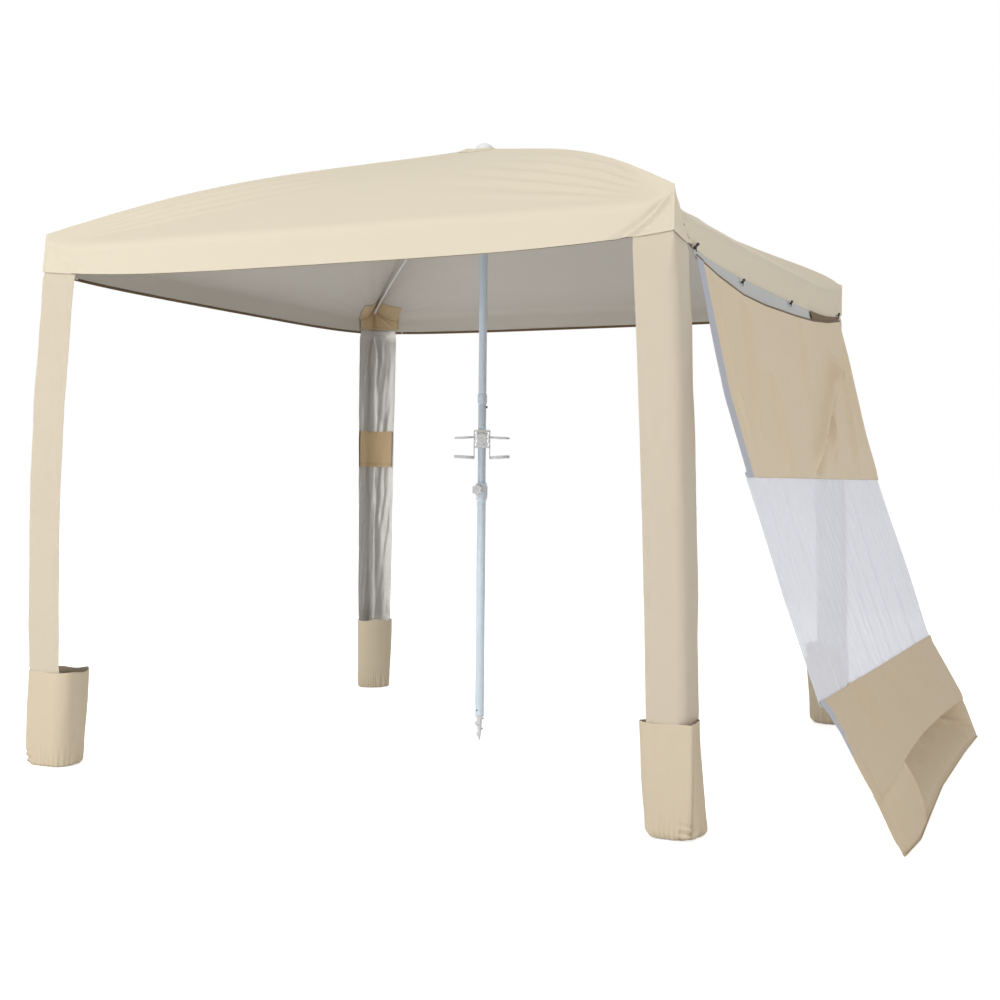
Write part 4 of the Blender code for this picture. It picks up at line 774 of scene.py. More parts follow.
    def creases(self, corner: Corner, along_x: bool) -> Fan:
        """The fan of creases on one gore of a quarter."""
        if along_x and corner in self.front_fans:
            return self.front_fans[corner]
        turn = 1.7 * list(Corner).index(corner) + (0.9 if along_x else 0.0)
        rays = tuple((8.0 + 7.4 * i + 1.6 * math.sin(turn + i), 1.7 + 0.4 * math.cos(turn * i + 1),
                      0.0036 + 0.0016 * math.sin(turn + 2 * i))
                     for i in range(5))
        return Fan(rays, peak=0.22, reach=0.85)

    def relief(self, point: Vector, along_x: bool, fan: Fan) -> float:
        """Height of creases and waves on the roof."""
        a, b = (abs(point.x), abs(point.y)) if along_x else (abs(point.y), abs(point.x))
        along, inward = self.half - a, self.half - b
        wave = swells(point, self.roof_waves)
        edge = smooth_step(inward / 0.03) * 0.7 + 0.3
        ridge = min(1.0, (b - a) / 0.03) if b > a else 0.0
        return (fan.height(along, inward) * edge + wave * edge) * smooth_step(b / 0.2) * (0.25 + 0.75 * ridge)

    def welt(self, point: Vector) -> float:
        """Height of the stitched seam over the ridge."""
        away = abs(abs(point.x) - abs(point.y)) / math.sqrt(2)
        return self.welt_height * (1 - smooth_step((away - 0.004) / 0.0035))

    def valance_relief(self, corner: Corner, along: float, drop: float, point: Vector) -> float:
        """How far the valance stands out at a distance along its side and a share of its drop."""
        near = self.half - along
        away = near - self.pleat_lean * drop
        height, depth = self.pulled_pleat if corner is Corner.FRONT_RIGHT else self.pleat
        width, dip_place, dip_width = self.pleat_widths
        pleat = height * crease(away, width) * smooth_step(drop / 0.2)
        dip = depth * crease(away - dip_place, dip_width) * smooth_step(drop / 0.25)
        calm = smooth_step(near / 0.22)
        spot = Vector((point.x, point.y, point.z * 0.35))
        wave = swells(spot, self.valance_waves) * smooth_step(drop / 0.5) * calm
        over_leg = fold(drop, self.leg_step) * (1 - smooth_step((near - 0.115) / 0.01))
        return pleat - dip + wave - fold(near, self.corner_seam) - over_leg

    def rows(self, corner: Corner) -> Rows:
        """Rows of a quarter from the hole over the roof and down the valance, its hem turned up inside."""
        sx, sy = corner.signs
        shares = [-1.0] + [1 - (1 - i / (self.roof_rows - 1)) ** 1.35 for i in range(self.roof_rows)]
        fans = {True: self.creases(corner, True), False: self.creases(corner, False)}
        ways = self.ways(self.columns())
        rows: Rows = []
        for share in shares:
            row = []
            for across, along_x in ways:
                point = self.roof_point(corner, share, across, along_x)
                lift = Vector((0.0, 0.28 * sy, 1.0)) if along_x else Vector((0.28 * sx, 0.0, 1.0))
                if across == 1:
                    lift = Vector((0.0, 0.0, 1.0))
                height = self.relief(point, along_x, fans[along_x]) + self.welt(point)
                row.append(point + lift.normalized() * height * smooth_step((share + 0.02) / 0.05))
            rows.append(row)
        edge = rows[-1]
        drops = [smooth_step(i / self.valance_rows) * 0.35 + 0.65 * i / self.valance_rows
                 for i in range(1, self.valance_rows + 1)]
        stand = self.hem_stand
        hem = [(1.0, stand / 2, -self.turned_hem), (1.0, stand, 0.0), (1.0, stand, self.hem_fold)]
        for drop, inset, rise in [(drop, 0.0, 0.0) for drop in drops] + hem:
            rows.append(self.valance_row(corner, edge, drop, ways, inset, rise))
        return rows

    def valance_row(self, corner: Corner, edge: list[Vector], drop: float, ways: list[tuple[float, bool]],
                    inset: float, rise: float) -> list[Vector]:
        """One row of the valance.

        Args:
            corner: The quarter.
            edge: The roof's last row.
            drop: Share of the way down to the hem.
            ways: The share across and the side of each column.
            inset: Distance toward the inside.
            rise: Height above the row's place.

        Returns:
            The row's points.
        """
        sx, sy = corner.signs
        row = []
        for start, (across, along_x) in zip(edge, ways):
            along = abs(start.x) if along_x else abs(start.y)
            bottom = self.hem(corner, min(1.0, along), along_x)
            z = start.z + (bottom - start.z) * drop + rise
            out = self.valance_relief(corner, along, (start.z - z) / (start.z - bottom),
                                      Vector((start.x, start.y, z))) - inset
            if across == 1:
                point = Vector((start.x - sx * inset, start.y - sy * inset, z))
            else:
                out *= smooth_step((self.half - along) / 0.012) if out > 0 else 1.0
                step = (0.0, sy * out) if along_x else (sx * out, 0.0)
                point = Vector((start.x + step[0], start.y + step[1], z))
                point = self.clear_corner(corner, point, inset)
            row.append(point - self.flare(corner, start, drop))
        return row

    def flare(self, corner: Corner, start: Vector, drop: float) -> Vector:
        """How far the front left corner of the valance stands out at a share of its drop."""
        near = smooth_step(1 - (self.half - min(abs(start.x), abs(start.y))) / 0.6)
        return Vector((self.left_flare * drop * near if corner is Corner.FRONT_LEFT else 0.0, 0.0, 0.0))

    def clear_corner(self, corner: Corner, point: Vector, inset: float) -> Vector:
        """Keep the turned-up hem from crossing itself in the corner."""
        sx, sy = corner.signs
        limit = self.half - inset if inset else self.half + 1.0
        return Vector((sx * min(abs(point.x), limit), sy * min(abs(point.y), limit), point.z))

    def build(self) -> list[bpy.types.Object]:
        """The quarters, corner patches and crown patch."""
        made = []
        for corner in Corner:
            made.append(self.quarter(corner))
            made.append(self.patch(corner))
        made.append(self.crown())
        return made

    def hold(self, obj: bpy.types.Object, corner: Corner) -> None:
        """Let a piece move with its rib, with a mesh of its own."""
        sx, sy = corner.signs
        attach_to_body(obj, corner.body)
        radius, height = self.pin
        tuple(corner.tangent)
        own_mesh(obj)

    def quarter(self, corner: Corner) -> bpy.types.Object:
        """One quarter of the canopy."""
        sx, sy = corner.signs
        rows = self.rows(corner)
        columns = self.columns()

        def pick(i: int, j: int) -> int:
            """The brown edge runs along the open hem, between the legs."""
            across = columns[min(j, 2 * len(columns) - 3 - j)]
            return 1 if i >= len(rows) - 4 and across < self.bound_share else 0

        cut = ClothCut(f"canopy_quarter_{corner.tag}_cloth", rows, Finish.CANOPY, Finish.SILVER, (Finish.BINDING,),
                       pick, flip=sx * sy < 0)
        obj = cut.build()
        attach(obj, "canopy_cloth", f"canopy_quarter_{corner.tag}")
        self.hold(obj, corner)
        return obj

    def patch(self, corner: Corner) -> bpy.types.Object:
        """The tan patch inside one corner."""
        sx, sy = corner.signs
        inset = self.patch_inset
        first, last = self.bound_share, self.patch_columns - 1
        ways = self.ways([first + (1 - first) * j / last for j in range(self.patch_columns)])
        roof_rows, drop_rows = self.patch_rows
        rows: Rows = []
        for i in range(roof_rows + 1):
            share = self.patch_share + (1 - self.patch_share) * i / roof_rows
            row = []
            for across, along_x in ways:
                point = self.roof_point(corner, share, across, along_x)
                row.append(point - Vector((sx * inset * 0.3, sy * inset * 0.3, inset)))
            rows.append(row)
        edge = rows[-1]
        limit = self.half - inset
        for place in edge:
            place.x = sx * min(abs(place.x), limit)
            place.y = sy * min(abs(place.y), limit)
        for i in range(1, drop_rows + 1):
            row = []
            for start, (across, along_x) in zip(edge, ways):
                along = abs(start.x) if along_x else abs(start.y)
                hem = self.hem(corner, min(1.0, along), along_x)
                z = start.z + (hem + self.patch_foot - start.z) * i / drop_rows
                drop = (start.z + inset - z) / (start.z + inset - hem)
                out = self.valance_relief(corner, along, drop, Vector((start.x, start.y, z)))
                out = min(0.0, out) - self.patch_clear
                step = Vector((0.0, sy * out, 0.0)) if along_x else Vector((sx * out, 0.0, 0.0))
                if across >= 0.985:
                    step = Vector((-sx * 0.001, -sy * 0.001, 0.0))
                point = Vector((start.x, start.y, z)) + step
                row.append(point - self.flare(corner, start, drop))
            rows.append(row)
        obj = ClothCut(f"corner_patch_{corner.tag}_cloth", rows, Finish.SILVER, Finish.TAN, flip=sx * sy < 0).build()
        attach(obj, "tan_cloth", f"corner_patch_{corner.tag}")
        self.hold(obj, corner)
        return obj

    def crown(self) -> bpy.types.Object:
        """The round patch over the crown, puffed up round the cap."""
        rows: Rows = []
        inner, outer = self.crown_radii
        count, steps = self.crown_grid
        for i in range(count + 1):
            r = inner + (outer - inner) * i / count
            row = []
            for j in range(steps):
                a = 2 * math.pi * j / steps
                x, y = r * math.cos(a), r * math.sin(a)
                big, small = max(abs(x), abs(y)), min(abs(x), abs(y))
                share = (big - self.crown_half) / (self.half - self.crown_half)
                z = self.ridge(max(0.0, share)) - self.mid_drop * max(0.0, share) * (1 - (small / big) ** 3)
                puff = self.puff * crease(r - self.puff_radius, 0.018) * (1 + 0.25 * math.sin(8 * a + 1))
                row.append(Vector((x, y, z + self.crown_lift + (puff if r > self.cap_radius else 0.0))))
            rows.append(row)
        obj = ClothCut("crown_patch_cloth", rows, Finish.CANOPY, Finish.SILVER, thickness=0.0009, flip=True,
                       closed=True).build()
        attach(obj, "canopy_cloth", body="frame")
        return obj


@dataclass(frozen=True)
class Stance:
    """How one leg and its pocket stand.

    Attributes:
        splay: How far the foot stands out in x.
        shift: How far the foot stands out in y.
        flare: How far the leg's top stands out in x with the valance.
        bow: Outward bow at half height.
        draw: How much narrower the front or back strip is at the foot.
        turn: How far the side strip's free edge leans in at the foot.
        fillet: Radius of the leg's corner below the valance.
        width: Width of the pocket.
        base: Rounding of the pocket's base.
        trim: How much narrower both strips are.
        rim_out: How far the pocket's outer side stands out at its front and back edge at the rim.
        base_out: The same at the base.
    """

    splay: float = 0.058
    shift: float = 0.0
    flare: float = 0.0
    bow: float = 0.005
    draw: float = 0.004
    turn: float = 0.0
    fillet: float = 0.026
    width: float = 0.130
    base: float = 0.020
    trim: float = 0.0
    rim_out: tuple[float, float] = (0.0, 0.0)
    base_out: tuple[float, float] = (0.0, 0.0)


STANCES = {
    Corner.FRONT_LEFT: Stance(splay=0.046, shift=0.018, flare=0.014, bow=0.016, fillet=0.012, trim=-0.007,
                              width=0.142, base=0.010),
    Corner.FRONT_RIGHT: Stance(splay=0.062, shift=0.030, bow=0.006, draw=0.010, trim=0.009, width=0.118, base=0.022,
                               rim_out=(0.020, 0.002), base_out=(0.004, 0.028)),
    Corner.BACK_LEFT: Stance(splay=0.022, shift=0.020, bow=0.002, draw=0.010, turn=0.016, trim=0.009, width=0.112,
                             base=0.009),
    Corner.BACK_RIGHT: Stance(splay=0.045, shift=0.020, bow=0.004, base=0.018),
}


@dataclass
class Legs:
    """The four cloth legs of L section with their inner bands."""

    canopy: Canopy
    front_width: float = 0.119
    side_width: float = 0.126
    band_margin: float = 0.020
    foot_z: float = 0.268
    band_top: float = 1.090
    band_foot: float = 0.938
    top_fillet: float = 0.006
    rows_count: int = 96
    side_columns: int = 18
    band_rows: int = 18
    sewn: float = 0.014
    tucked: tuple[float, float] = (0.0052, 0.0045)
    waves: float = 0.0026
    ripples: Waves = ((1.0, 0.085, 5.0), (0.5, 0.032, 9.0))
    back_folds: Waves = ((1.3, 0.050, 2.0), (1.3, 0.085, 4.0), (0.5, 0.022, 1.0))
    strip_crease: Form = (0.0012, 0.104, 0.010)
    held: tuple[float, float] = (0.30, 1.50)

    def corner_point(self, corner: Corner, z: float) -> Vector:
        """The outer corner of a leg at a height."""
        sx, sy = corner.signs
        stance = STANCES[corner]
        top = self.canopy.hem_corner
        down = (top - z) / top
        bow = stance.bow * math.sin(math.pi * min(1.0, max(0.0, (top - z) / (top - self.foot_z))))
        return Vector((sx * (1 + stance.flare + stance.splay * down + bow),
                       sy * (1 + stance.shift * down + 0.5 * bow), z))

    def section(self, front: float, side: float, r: float) -> list[tuple[float, float, float, float, float]]:
        """Plan of the leg's L.

        Args:
            front: Width of the front or back face.
            side: Width of the side face.
            r: Radius of its corner.

        Returns:
            Inward distances in x and y, the signed distance along the L and the outward direction, column by column.
        """
        n = self.side_columns
        arc = r * math.pi / 4
        points = []
        for i in range(-n, n + 1):
            width = front if i < 0 else side
            s = (width - r + arc) * i / n
            if abs(s) >= arc:
                far = abs(s) - arc + r
                points.append((far, 0.0, s, 0.0, 1.0) if s < 0 else (0.0, far, s, 1.0, 0.0))
            else:
                phi = (s / arc + 1) * math.pi / 4
                nx, ny = math.sin(phi), math.cos(phi)
                points.append((r - r * nx, r - r * ny, s, nx, ny))
        return points

    def row(self, corner: Corner, z_at: Callable[[float, bool], float], inset: float, wave: float) -> list[Vector]:
        """One row across both faces of a leg.

        Args:
            corner: The leg's corner.
            z_at: Height at an inward distance on either face.
            inset: Distance toward the inside of the tent.
            wave: Depth of the cloth's unevenness.

        Returns:
            The row's points.
        """
        sx, sy = corner.signs
        row = []
        z_mean = z_at(0.0, True)
        down = min(1.0, (self.canopy.hem_corner - z_mean) / self.canopy.hem_corner)
        ease = smooth_step((self.canopy.hem_corner - 0.01 - z_mean) / 0.12)
        stance = STANCES[corner]
        r = self.top_fillet + (stance.fillet - self.top_fillet) * ease
        front = self.front_width - stance.trim - stance.draw * down
        for a, b, s, nx, ny in self.section(front, self.side_width - stance.trim - 0.004 * down, r):
            z = z_at(max(a, b), s < 0)
            base = self.corner_point(corner, z)
            place = Vector((s * 1.3, base.x * 3 + base.y, z * 0.45))
            out = wave * swells(place, self.ripples)
            if sy > 0:
                calm = smooth_step((front - max(a, b)) / 0.03)
                tilted = Vector((s * 2.4 + 0.22 * z, base.x, z * 0.28))
                wide, sharp, fine = (height * ripple(tilted, size, seed) for height, size, seed in self.back_folds)
                out += wave * (wide + abs(sharp) + fine) * calm
            out += fold(max(a, b), self.strip_crease) * (wave > 0)
            lean = stance.turn * down * b / self.side_width
            row.append(Vector((base.x - sx * (a + lean + (inset - out) * nx), base.y - sy * (b + (inset - out) * ny),
                               z)))
        return row

    def build(self) -> list[bpy.types.Object]:
        """The legs and their bands."""
        made = []
        for corner in Corner:
            made += [self.leg(corner), self.band(corner)]
        return made

    def leg(self, corner: Corner) -> bpy.types.Object:
        """One leg, sewn behind the valance and down to its pocket."""
        sx, sy = corner.signs
        rows: Rows = []
        for i in range(self.rows_count + 1):
            share = i / self.rows_count

            def height(inward: float, along_x: bool) -> float:
                """The row's height, from behind the valance down into the pocket."""
                high = self.canopy.hem(corner, 1 - inward, along_x) + self.sewn
                low = self.foot_z - 0.005 * math.sin(math.pi * min(1.0, inward / self.front_width))
                return high + (low - high) * share

            drop = height(0.0, True)
            under = self.canopy.hem_corner - drop
            behind, inside = self.tucked
            inset = behind * (1 - smooth_step((under + 0.004) / 0.03)) + inside * smooth_step((0.298 - drop) / 0.012)
            rows.append(self.row(corner, height, inset,
                                 self.waves * smooth_step(share / 0.1) * smooth_step((1 - share) / 0.08)))
        cut = ClothCut(f"leg_{corner.tag}_cloth", rows, Finish.LEG, Finish.SILVER_LEG, thickness=0.0011,
                       flip=sx * sy < 0)
        obj = cut.build()
        attach(obj, "canopy_cloth", f"leg_{corner.tag}")
        self.hold(obj, corner)
        return obj

    def hold(self, obj: bpy.types.Object, corner: Corner) -> None:
        """Bake a piece's place into its mesh."""
        corner.body
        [self.corner_point(corner, z) for z in self.held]
        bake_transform(obj)

    def band(self, corner: Corner) -> bpy.types.Object:
        """The tan band across the inside of one leg."""
        sx, sy = corner.signs
        rows: Rows = []
        narrow = Legs(self.canopy, front_width=self.front_width - 0.006, side_width=self.side_width - 0.006)
        for i in range(self.band_rows + 1):
            z = self.band_top + (self.band_foot - self.band_top) * i / self.band_rows
            rows.append(narrow.row(corner, lambda inward, along_x, z=z: z, 0.0050, self.waves))
        obj = ClothCut(f"leg_band_{corner.tag}_cloth", rows, Finish.TAN, Finish.TAN, thickness=0.001,
                       flip=sx * sy < 0).build()
        attach(obj, "tan_cloth", f"leg_band_{corner.tag}")
        self.hold(obj, corner)
        return obj


@dataclass
class SandPockets:
    """The open sand pockets at the feet, with puckered bases and welted corner seams."""

    legs: Legs
    top_z: float = 0.288
    outer_round: float = 0.012
    inner_round: float = 0.078
    edge_round: float = 0.034
    wall: float = 0.0026
    bulge: float = 0.006
    flare: float = 0.014
    puckers: tuple[float, float] = (0.0030, 0.0016)
    waves: Waves = ((0.0022, 0.06, 2.0),)
    corner_seam: Waves = ((-0.0065, 0.015, 0.0042), (0.0026, 0.0, 0.008), (-0.012, 0.012, 0.014))
    rim_rise: float = 0.006
    rim_sag: float = 0.007
    rim_fold: tuple[tuple[float, float], ...] = ((0.0030, 0.016), (0.0030, 0.002), (0.0012, -0.0012))
    steps: int = 190
    row_count: int = 54

    def outline(self, w: float) -> list[tuple[float, float]]:
        """Plan of a pocket of a width as inward distances, evenly spaced once round from its outer corner."""
        corners = (((0.0, 0.0), self.outer_round), ((w, 0.0), self.edge_round), ((w, w), self.inner_round),
                   ((0.0, w), self.edge_round))
        dense: list[tuple[float, float]] = []
        for k, ((cx, cy), r) in enumerate(corners):
            mx, my = (cx - r if cx else r), (cy - r if cy else r)
            for i in range(25):
                a = math.pi + math.pi / 2 * k + math.pi / 2 * i / 24
                dense.append((mx + r * math.cos(a), my + r * math.sin(a)))
        dense = dense[12:] + dense[:13]
        lengths = [0.0]
        for one, two in zip(dense, dense[1:]):
            lengths.append(lengths[-1] + math.dist(one, two))
        points = []
        k = 0
        for i in range(self.steps):
            goal = lengths[-1] * i / self.steps
            while lengths[k + 1] < goal:
                k += 1
            t = (goal - lengths[k]) / (lengths[k + 1] - lengths[k] or 1)
            points.append((dense[k][0] + (dense[k + 1][0] - dense[k][0]) * t,
                           dense[k][1] + (dense[k + 1][1] - dense[k][1]) * t))
        return points

    def levels(self, stance: Stance) -> list[tuple[float, float]]:
        """Heights down the pocket, each with how far the base is drawn in there."""
        count = self.row_count
        made = [(self.top_z * (1 - i / count) + stance.base * i / count, 0.0) for i in range(count)]
        for i in range(11):
            a = math.pi / 2 * i / 10
            made.append((stance.base * (1 - math.sin(a)), stance.base * (1 - math.cos(a))))
        reach = stance.width / 2
        made += [(0.0, stance.base + (reach - stance.base) * i / 8) for i in range(1, 8)]
        return made

    def push(self, corner: Corner, a: float, b: float, z: float, draw: float) -> float:
        """How far the cloth stands out from the plain pocket at a place."""
        sx, sy = corner.signs
        width = STANCES[corner].width
        middle = width / 2
        angle = math.atan2(b - middle, a - middle)
        inner = smooth_step((a + b - 0.5 * width) / width)
        share = min(1.0, z / self.top_z)
        gather = smooth_step((0.09 - z) / 0.08) * smooth_step((0.07 - draw) / 0.06)
        turn = angle * 10 + 1.3 * math.sin(3 * angle + sx) + sy
        big, small = self.puckers
        pucker = gather * (big * math.sin(turn) * (0.6 + 0.4 * math.sin(2 * angle + 1))
                           + small * math.sin(angle * 31 + 2 * sx))
        swell = self.bulge * math.sin(math.pi * share) * (0.35 + 0.65 * inner)
        flare = self.flare * inner * share ** 1.5
        wave = swells(Vector((a * 2, b * 2, 0.6 * z + sx + 2 * sy)), self.waves)
        from_corner = math.hypot(a, b)
        groove, ridge, crush = (fold(from_corner, form) for form in self.corner_seam)
        seam = (groove * (a < b) + ridge) * smooth_step(z / 0.05)
        crush *= smooth_step((0.07 - z) / 0.06)
        crush *= 0.55 + 0.45 * math.sin(z * 330 + 90 * b)
        return swell + flare + wave + pucker + seam + crush

    def pocket(self, corner: Corner) -> bpy.types.Object:
        """One pocket."""
        sx, sy = corner.signs
        stance = STANCES[corner]
        width = stance.width
        outline = self.outline(width)
        middle = width / 2
        rows: Rows = []
        for z, draw in self.levels(stance):
            base = self.legs.corner_point(corner, z)
            row = []
            for a, b in outline:
                away = Vector((a - middle, b - middle))
                keep = max(0.02, 1 - draw / middle) if draw else 1.0
                out = self.push(corner, a, b, z, draw)
                place = away * keep + away.normalized() * out * (0.2 + 0.8 * keep)
                rim = z / self.top_z
                back = min(1.0, max(0.0, b / width))
                out_rim, out_base = (one + (two - one) * back for one, two in (stance.rim_out, stance.base_out))
                place.x -= (out_rim * rim + out_base * (1 - rim) ** 1.5) * max(0.0, 1 - a / width)
                inner = smooth_step((a + b - width) / width)
                high = smooth_step((z - self.top_z * 0.6) / (self.top_z * 0.4))
                side = 0.5 + 0.5 * math.sin(4 * math.atan2(b - middle, a - middle) + 1)
                sag = self.rim_sag * side * smooth_step((a + b - 0.3 * width) / width)
                rise = high * (self.rim_rise * inner - sag)
                row.append(Vector((base.x - sx * (place.x + middle), base.y - sy * (place.y + middle),
                                   max(0.0, z) + rise)))
            rows.append(row)
        top = [p.copy() for p in rows[0]]
        centre = sum(top, Vector()) / len(top)
        rows = [[p + (centre - p).normalized() * inset - Vector((0.0, 0.0, low)) for p in top]
                for inset, low in self.rim_fold] + rows
        cut = ClothCut(f"sand_pocket_{corner.tag}_cloth", rows, Finish.POCKET, Finish.POCKET_IN,
                       thickness=self.wall / 2, flip=sx * sy > 0, closed=True)
        obj = cut.build()
        attach(obj, "pocket_cloth", f"sand_pocket_{corner.tag}", "frame")
        return obj

    def tab(self) -> bpy.types.Object:
        """The small webbing tab at the foot of the front left pocket."""
        base = self.legs.corner_point(Corner.FRONT_LEFT, 0.03)
        half_width, foot, height, middle, stand, count = 0.006, 0.012, 0.036, 0.045, 0.019, 14
        rows: Rows = []
        for i in range(count + 1):
            t = i / count
            x = base.x + 0.004 - stand * math.sin(math.pi * 0.62 * t) - 0.004 * t
            rows.append([Vector((x, base.y + middle + half_width * side, foot + height * t)) for side in (-1, 0, 1)])
        obj = ClothCut("front_left_pocket_tab", rows, Finish.POCKET, Finish.POCKET, thickness=0.0014).build()
        attach(obj, "pocket_cloth", body="frame")
        return obj

    def build(self) -> list[bpy.types.Object]:
        """All four pockets and the tab."""
        return [self.pocket(corner) for corner in Corner] + [self.tab()]


@dataclass
class SideWall:
    """The sloping side wall: strip, upper panel, net, lower panel and its open sand pocket."""

    canopy: Canopy
    upper_seam: float = 0.900
    lower_seam: float = 0.350
    slope: tuple[tuple[float, float], ...] = ((0.0, 1.545), (0.150, 1.475), (0.350, 1.350), (0.900, 1.165),
                                              (1.120, 1.100), (1.485, 1.0022))
    hem: tuple[tuple[float, float], ...] = ((-0.86, 1.470), (-0.838, 1.467), (-0.673, 1.440), (-0.438, 1.416),
                                            (-0.2, 1.4135), (0.185, 1.424),
                                            (0.457, 1.436), (0.70, 1.456), (0.93, 1.485))
    front_edge: tuple[tuple[float, float], ...] = ((0.0, -0.915), (0.04, -0.931), (0.15, -0.935), (0.22, -0.912),
                                                   (0.28, -0.896), (0.45, -0.912),
                                                   (0.60, -0.924), (0.80, -0.908), (0.90, -0.906), (1.10, -0.914),
                                                   (1.30, -0.880), (1.5, -0.845))
    back_edge: tuple[tuple[float, float], ...] = ((0.0, 0.896), (0.33, 0.883), (0.89, 0.862), (1.5, 0.942))
    foot: tuple[float, float] = (1.561, 1.514)
    fold_y: float = -0.50
    depth: float = 0.080
    turned_edge: float = 0.056
    tilt: tuple[float, float, float] = (0.936, 0.0, 0.352)
    foot_bend: tuple[tuple[float, float], ...] = ((0.0, 0.0), (0.10, 0.012), (0.24, 0.002), (0.48, -0.014),
                                                  (0.80, -0.010), (1.0, 0.0))
    pulls: tuple[tuple[float, float, float, float, float, float], ...] = (
        (0.87, 1.33, 0.41, 0.905, 0.020, 0.0170), (0.83, 1.34, 0.60, 0.95, 0.017, 0.0110),
        (0.60, 1.41, 0.53, 1.15, 0.018, 0.0080),
        (0.93, 1.36, 0.80, 0.92, 0.018, 0.0095), (0.22, 1.40, 0.135, 1.02, 0.020, 0.0090),
        (0.06, 1.44, 0.07, 0.95, 0.022, 0.0060),
        (0.30, 1.20, 0.25, 0.905, 0.026, 0.0090), (0.96, 1.40, 0.945, 1.0, 0.014, 0.0070))
    patch_span: tuple[float, float] = (0.44, 0.925)
    closed_share: float = 0.265
    sleeve_rows: int = 56
    tuck: float = 0.0036
    swell: float = 0.011
    rim_roll: float = 0.009
    end_fold: float = 0.015
    crumple: tuple[float, float] = (0.0040, 0.0016)
    mouth: tuple[float, float, float] = (0.126, 0.004, 0.020)
    mouth_span: tuple[float, float] = (-0.87, 1.76)
    fold_stand: float = 0.0022
    bound_stand: float = 0.0012
    turn_in: tuple[float, float] = (0.0011, 0.0024)
    width: float = 1.79
    fold_depth: float = 0.014
    fold_width: float = 0.045
    columns: int = 150

    def across(self, z: float, share: float) -> float:
        """Place along the wall at a height and a share of its width."""
        front, back = interpolate(self.front_edge, z), interpolate(self.back_edge, z)
        return front + (back - front) * share

    def surface(self, y: float, z: float, out: float) -> Vector:
        """A point of the wall at a distance out from its smooth slope."""
        share = min(1.0, max(0.0, (y - self.front_edge[0][1]) / (self.back_edge[0][1] - self.front_edge[0][1])))
        foot = self.foot[0] + (self.foot[1] - self.foot[0]) * share + interpolate(self.foot_bend, share)
        low = max(0.0, 1 - z / self.lower_seam)
        x = interpolate(self.slope, z) + (foot - self.slope[0][1]) * low
        return Vector((x, y, z)) + Vector(self.tilt) * out

    def crease_in(self, y: float, z: float) -> float:
        """The soft inward fold near the front of the lower wall."""
        ends = smooth_step((self.upper_seam + 0.15 - z) / self.upper_seam) * smooth_step((z - 0.16) / 0.12)
        return -self.fold_depth * ends * crease(y - self.fold_y, self.fold_width)

    def hang(self, y: float, z: float) -> float:
        """Creases that run down and in from the toggles."""
        total = 0.0
        for top_share, top_z, foot_share, foot_z, width, height in self.pulls:
            one = Vector((self.across(top_z, top_share), top_z))
            two = Vector((self.across(foot_z, foot_share), foot_z))
            line = two - one
            t = min(1.0, max(0.0, (Vector((y, z)) - one).dot(line) / line.length_squared))
            away = (Vector((y, z)) - one - line * t).length
            side = 1.0 if line.x * (z - one.y) > line.y * (y - one.x) else -1.0
            fade = smooth_step(t / 0.12 + 0.1) * smooth_step((1 - t) / 0.25 + 0.15)
            total += height * fade * (crease(away, 0.8 * width) - 0.6 * crease(away * side - 1.6 * width, width))
        return total

    def pleats(self, y: float, z: float, depth: float) -> float:
        """Soft upright pleats in the lower panels, leaning with the pull of the pocket."""
        lean = y + 0.16 * z
        fine = math.sin(lean * 74 + 1.9 * math.sin(lean * 19)) * (0.55 + 0.45 * math.sin(lean * 13 + 1))
        return depth * (0.8 * fine + 0.9 * ripple(Vector((lean * 3, 1.0, z * 0.2)), 0.13, 4.0))

    def panel(self, name: str, span: tuple[Callable[[float], float], Callable[[float], float]], count: int,
              relief: Callable[[float, float, float], float], looks: tuple[Finish, Finish],
              edges: tuple[Finish, ...] = (), pick: Callable[[int, int], int] | None = None, turned_up: int = 0,
              first: float = 0.0) -> bpy.types.Object:
        """One panel of the wall.

        Args:
            name: The piece's name.
            span: Heights of its upper and lower edges across the wall.
            count: Rows of faces.
            relief: Distance out of the slope at a place, a height and a share of the panel's drop.
            looks: Outer and inner finish.
            edges: Finishes of bindings and turned edges.
            pick: Which of them a face has.
            turned_up: Rows that the lower edge is turned up by, on the inside.
            first: Height of the first row, for a binding.

        Returns:
            The panel.
        """
        top, foot = span
        rows: Rows = []
        for i in range(count + 1):
            row = []
            for share in self.shares():
                y_top = self.across(1.45 if top(0.0) > 1.2 else top(0.0), share)
                high, low = top(y_top), foot(y_top)
                part = i / count
                z = high + (low - high) * part
                if first:
                    z = high - first * min(i, 1) + (low - high + first) * max(0, i - 1) / (count - 1)
                y = self.across(z, share)
                width = interpolate(self.back_edge, z) - interpolate(self.front_edge, z)
                out = relief(y, z, part) + self.crease_in(y, z)
                if share * width < self.turned_edge and edges:
                    out += self.fold_stand
                if first and i < 2:
                    out += self.bound_stand
                row.append(self.surface(y, z, out))
            rows.append(row)
        if turned_up:
            inward = -Vector(self.tilt)
            edge = rows[count]
            half, full = self.turn_in
            rows.append([p + inward * half - Vector((0.0, 0.0, 0.001)) for p in edge])
            rows.append([p + inward * full for p in edge])
            rows.append([p + inward * full for p in rows[count - turned_up]])
        return ClothCut(name, rows, *looks, edges, pick, flip=True).build()

    def shares(self) -> list[float]:
        """Shares of the wall's width, with a narrow band at the front for its turned edge."""
        edge = self.turned_edge / self.width
        fine = [0.0, edge * 0.25, edge * 0.5, edge * 0.75, edge * 0.97, edge * 1.03]
        return fine + [edge * 1.03 + (1 - edge * 1.03) * j / self.columns for j in range(1, self.columns + 1)]

    def build(self) -> list[bpy.types.Object]:
        """All the wall's cloth."""
        return [self.upper(), self.net(), self.lower(), self.strip(), self.hook_loop(), self.sleeve()]

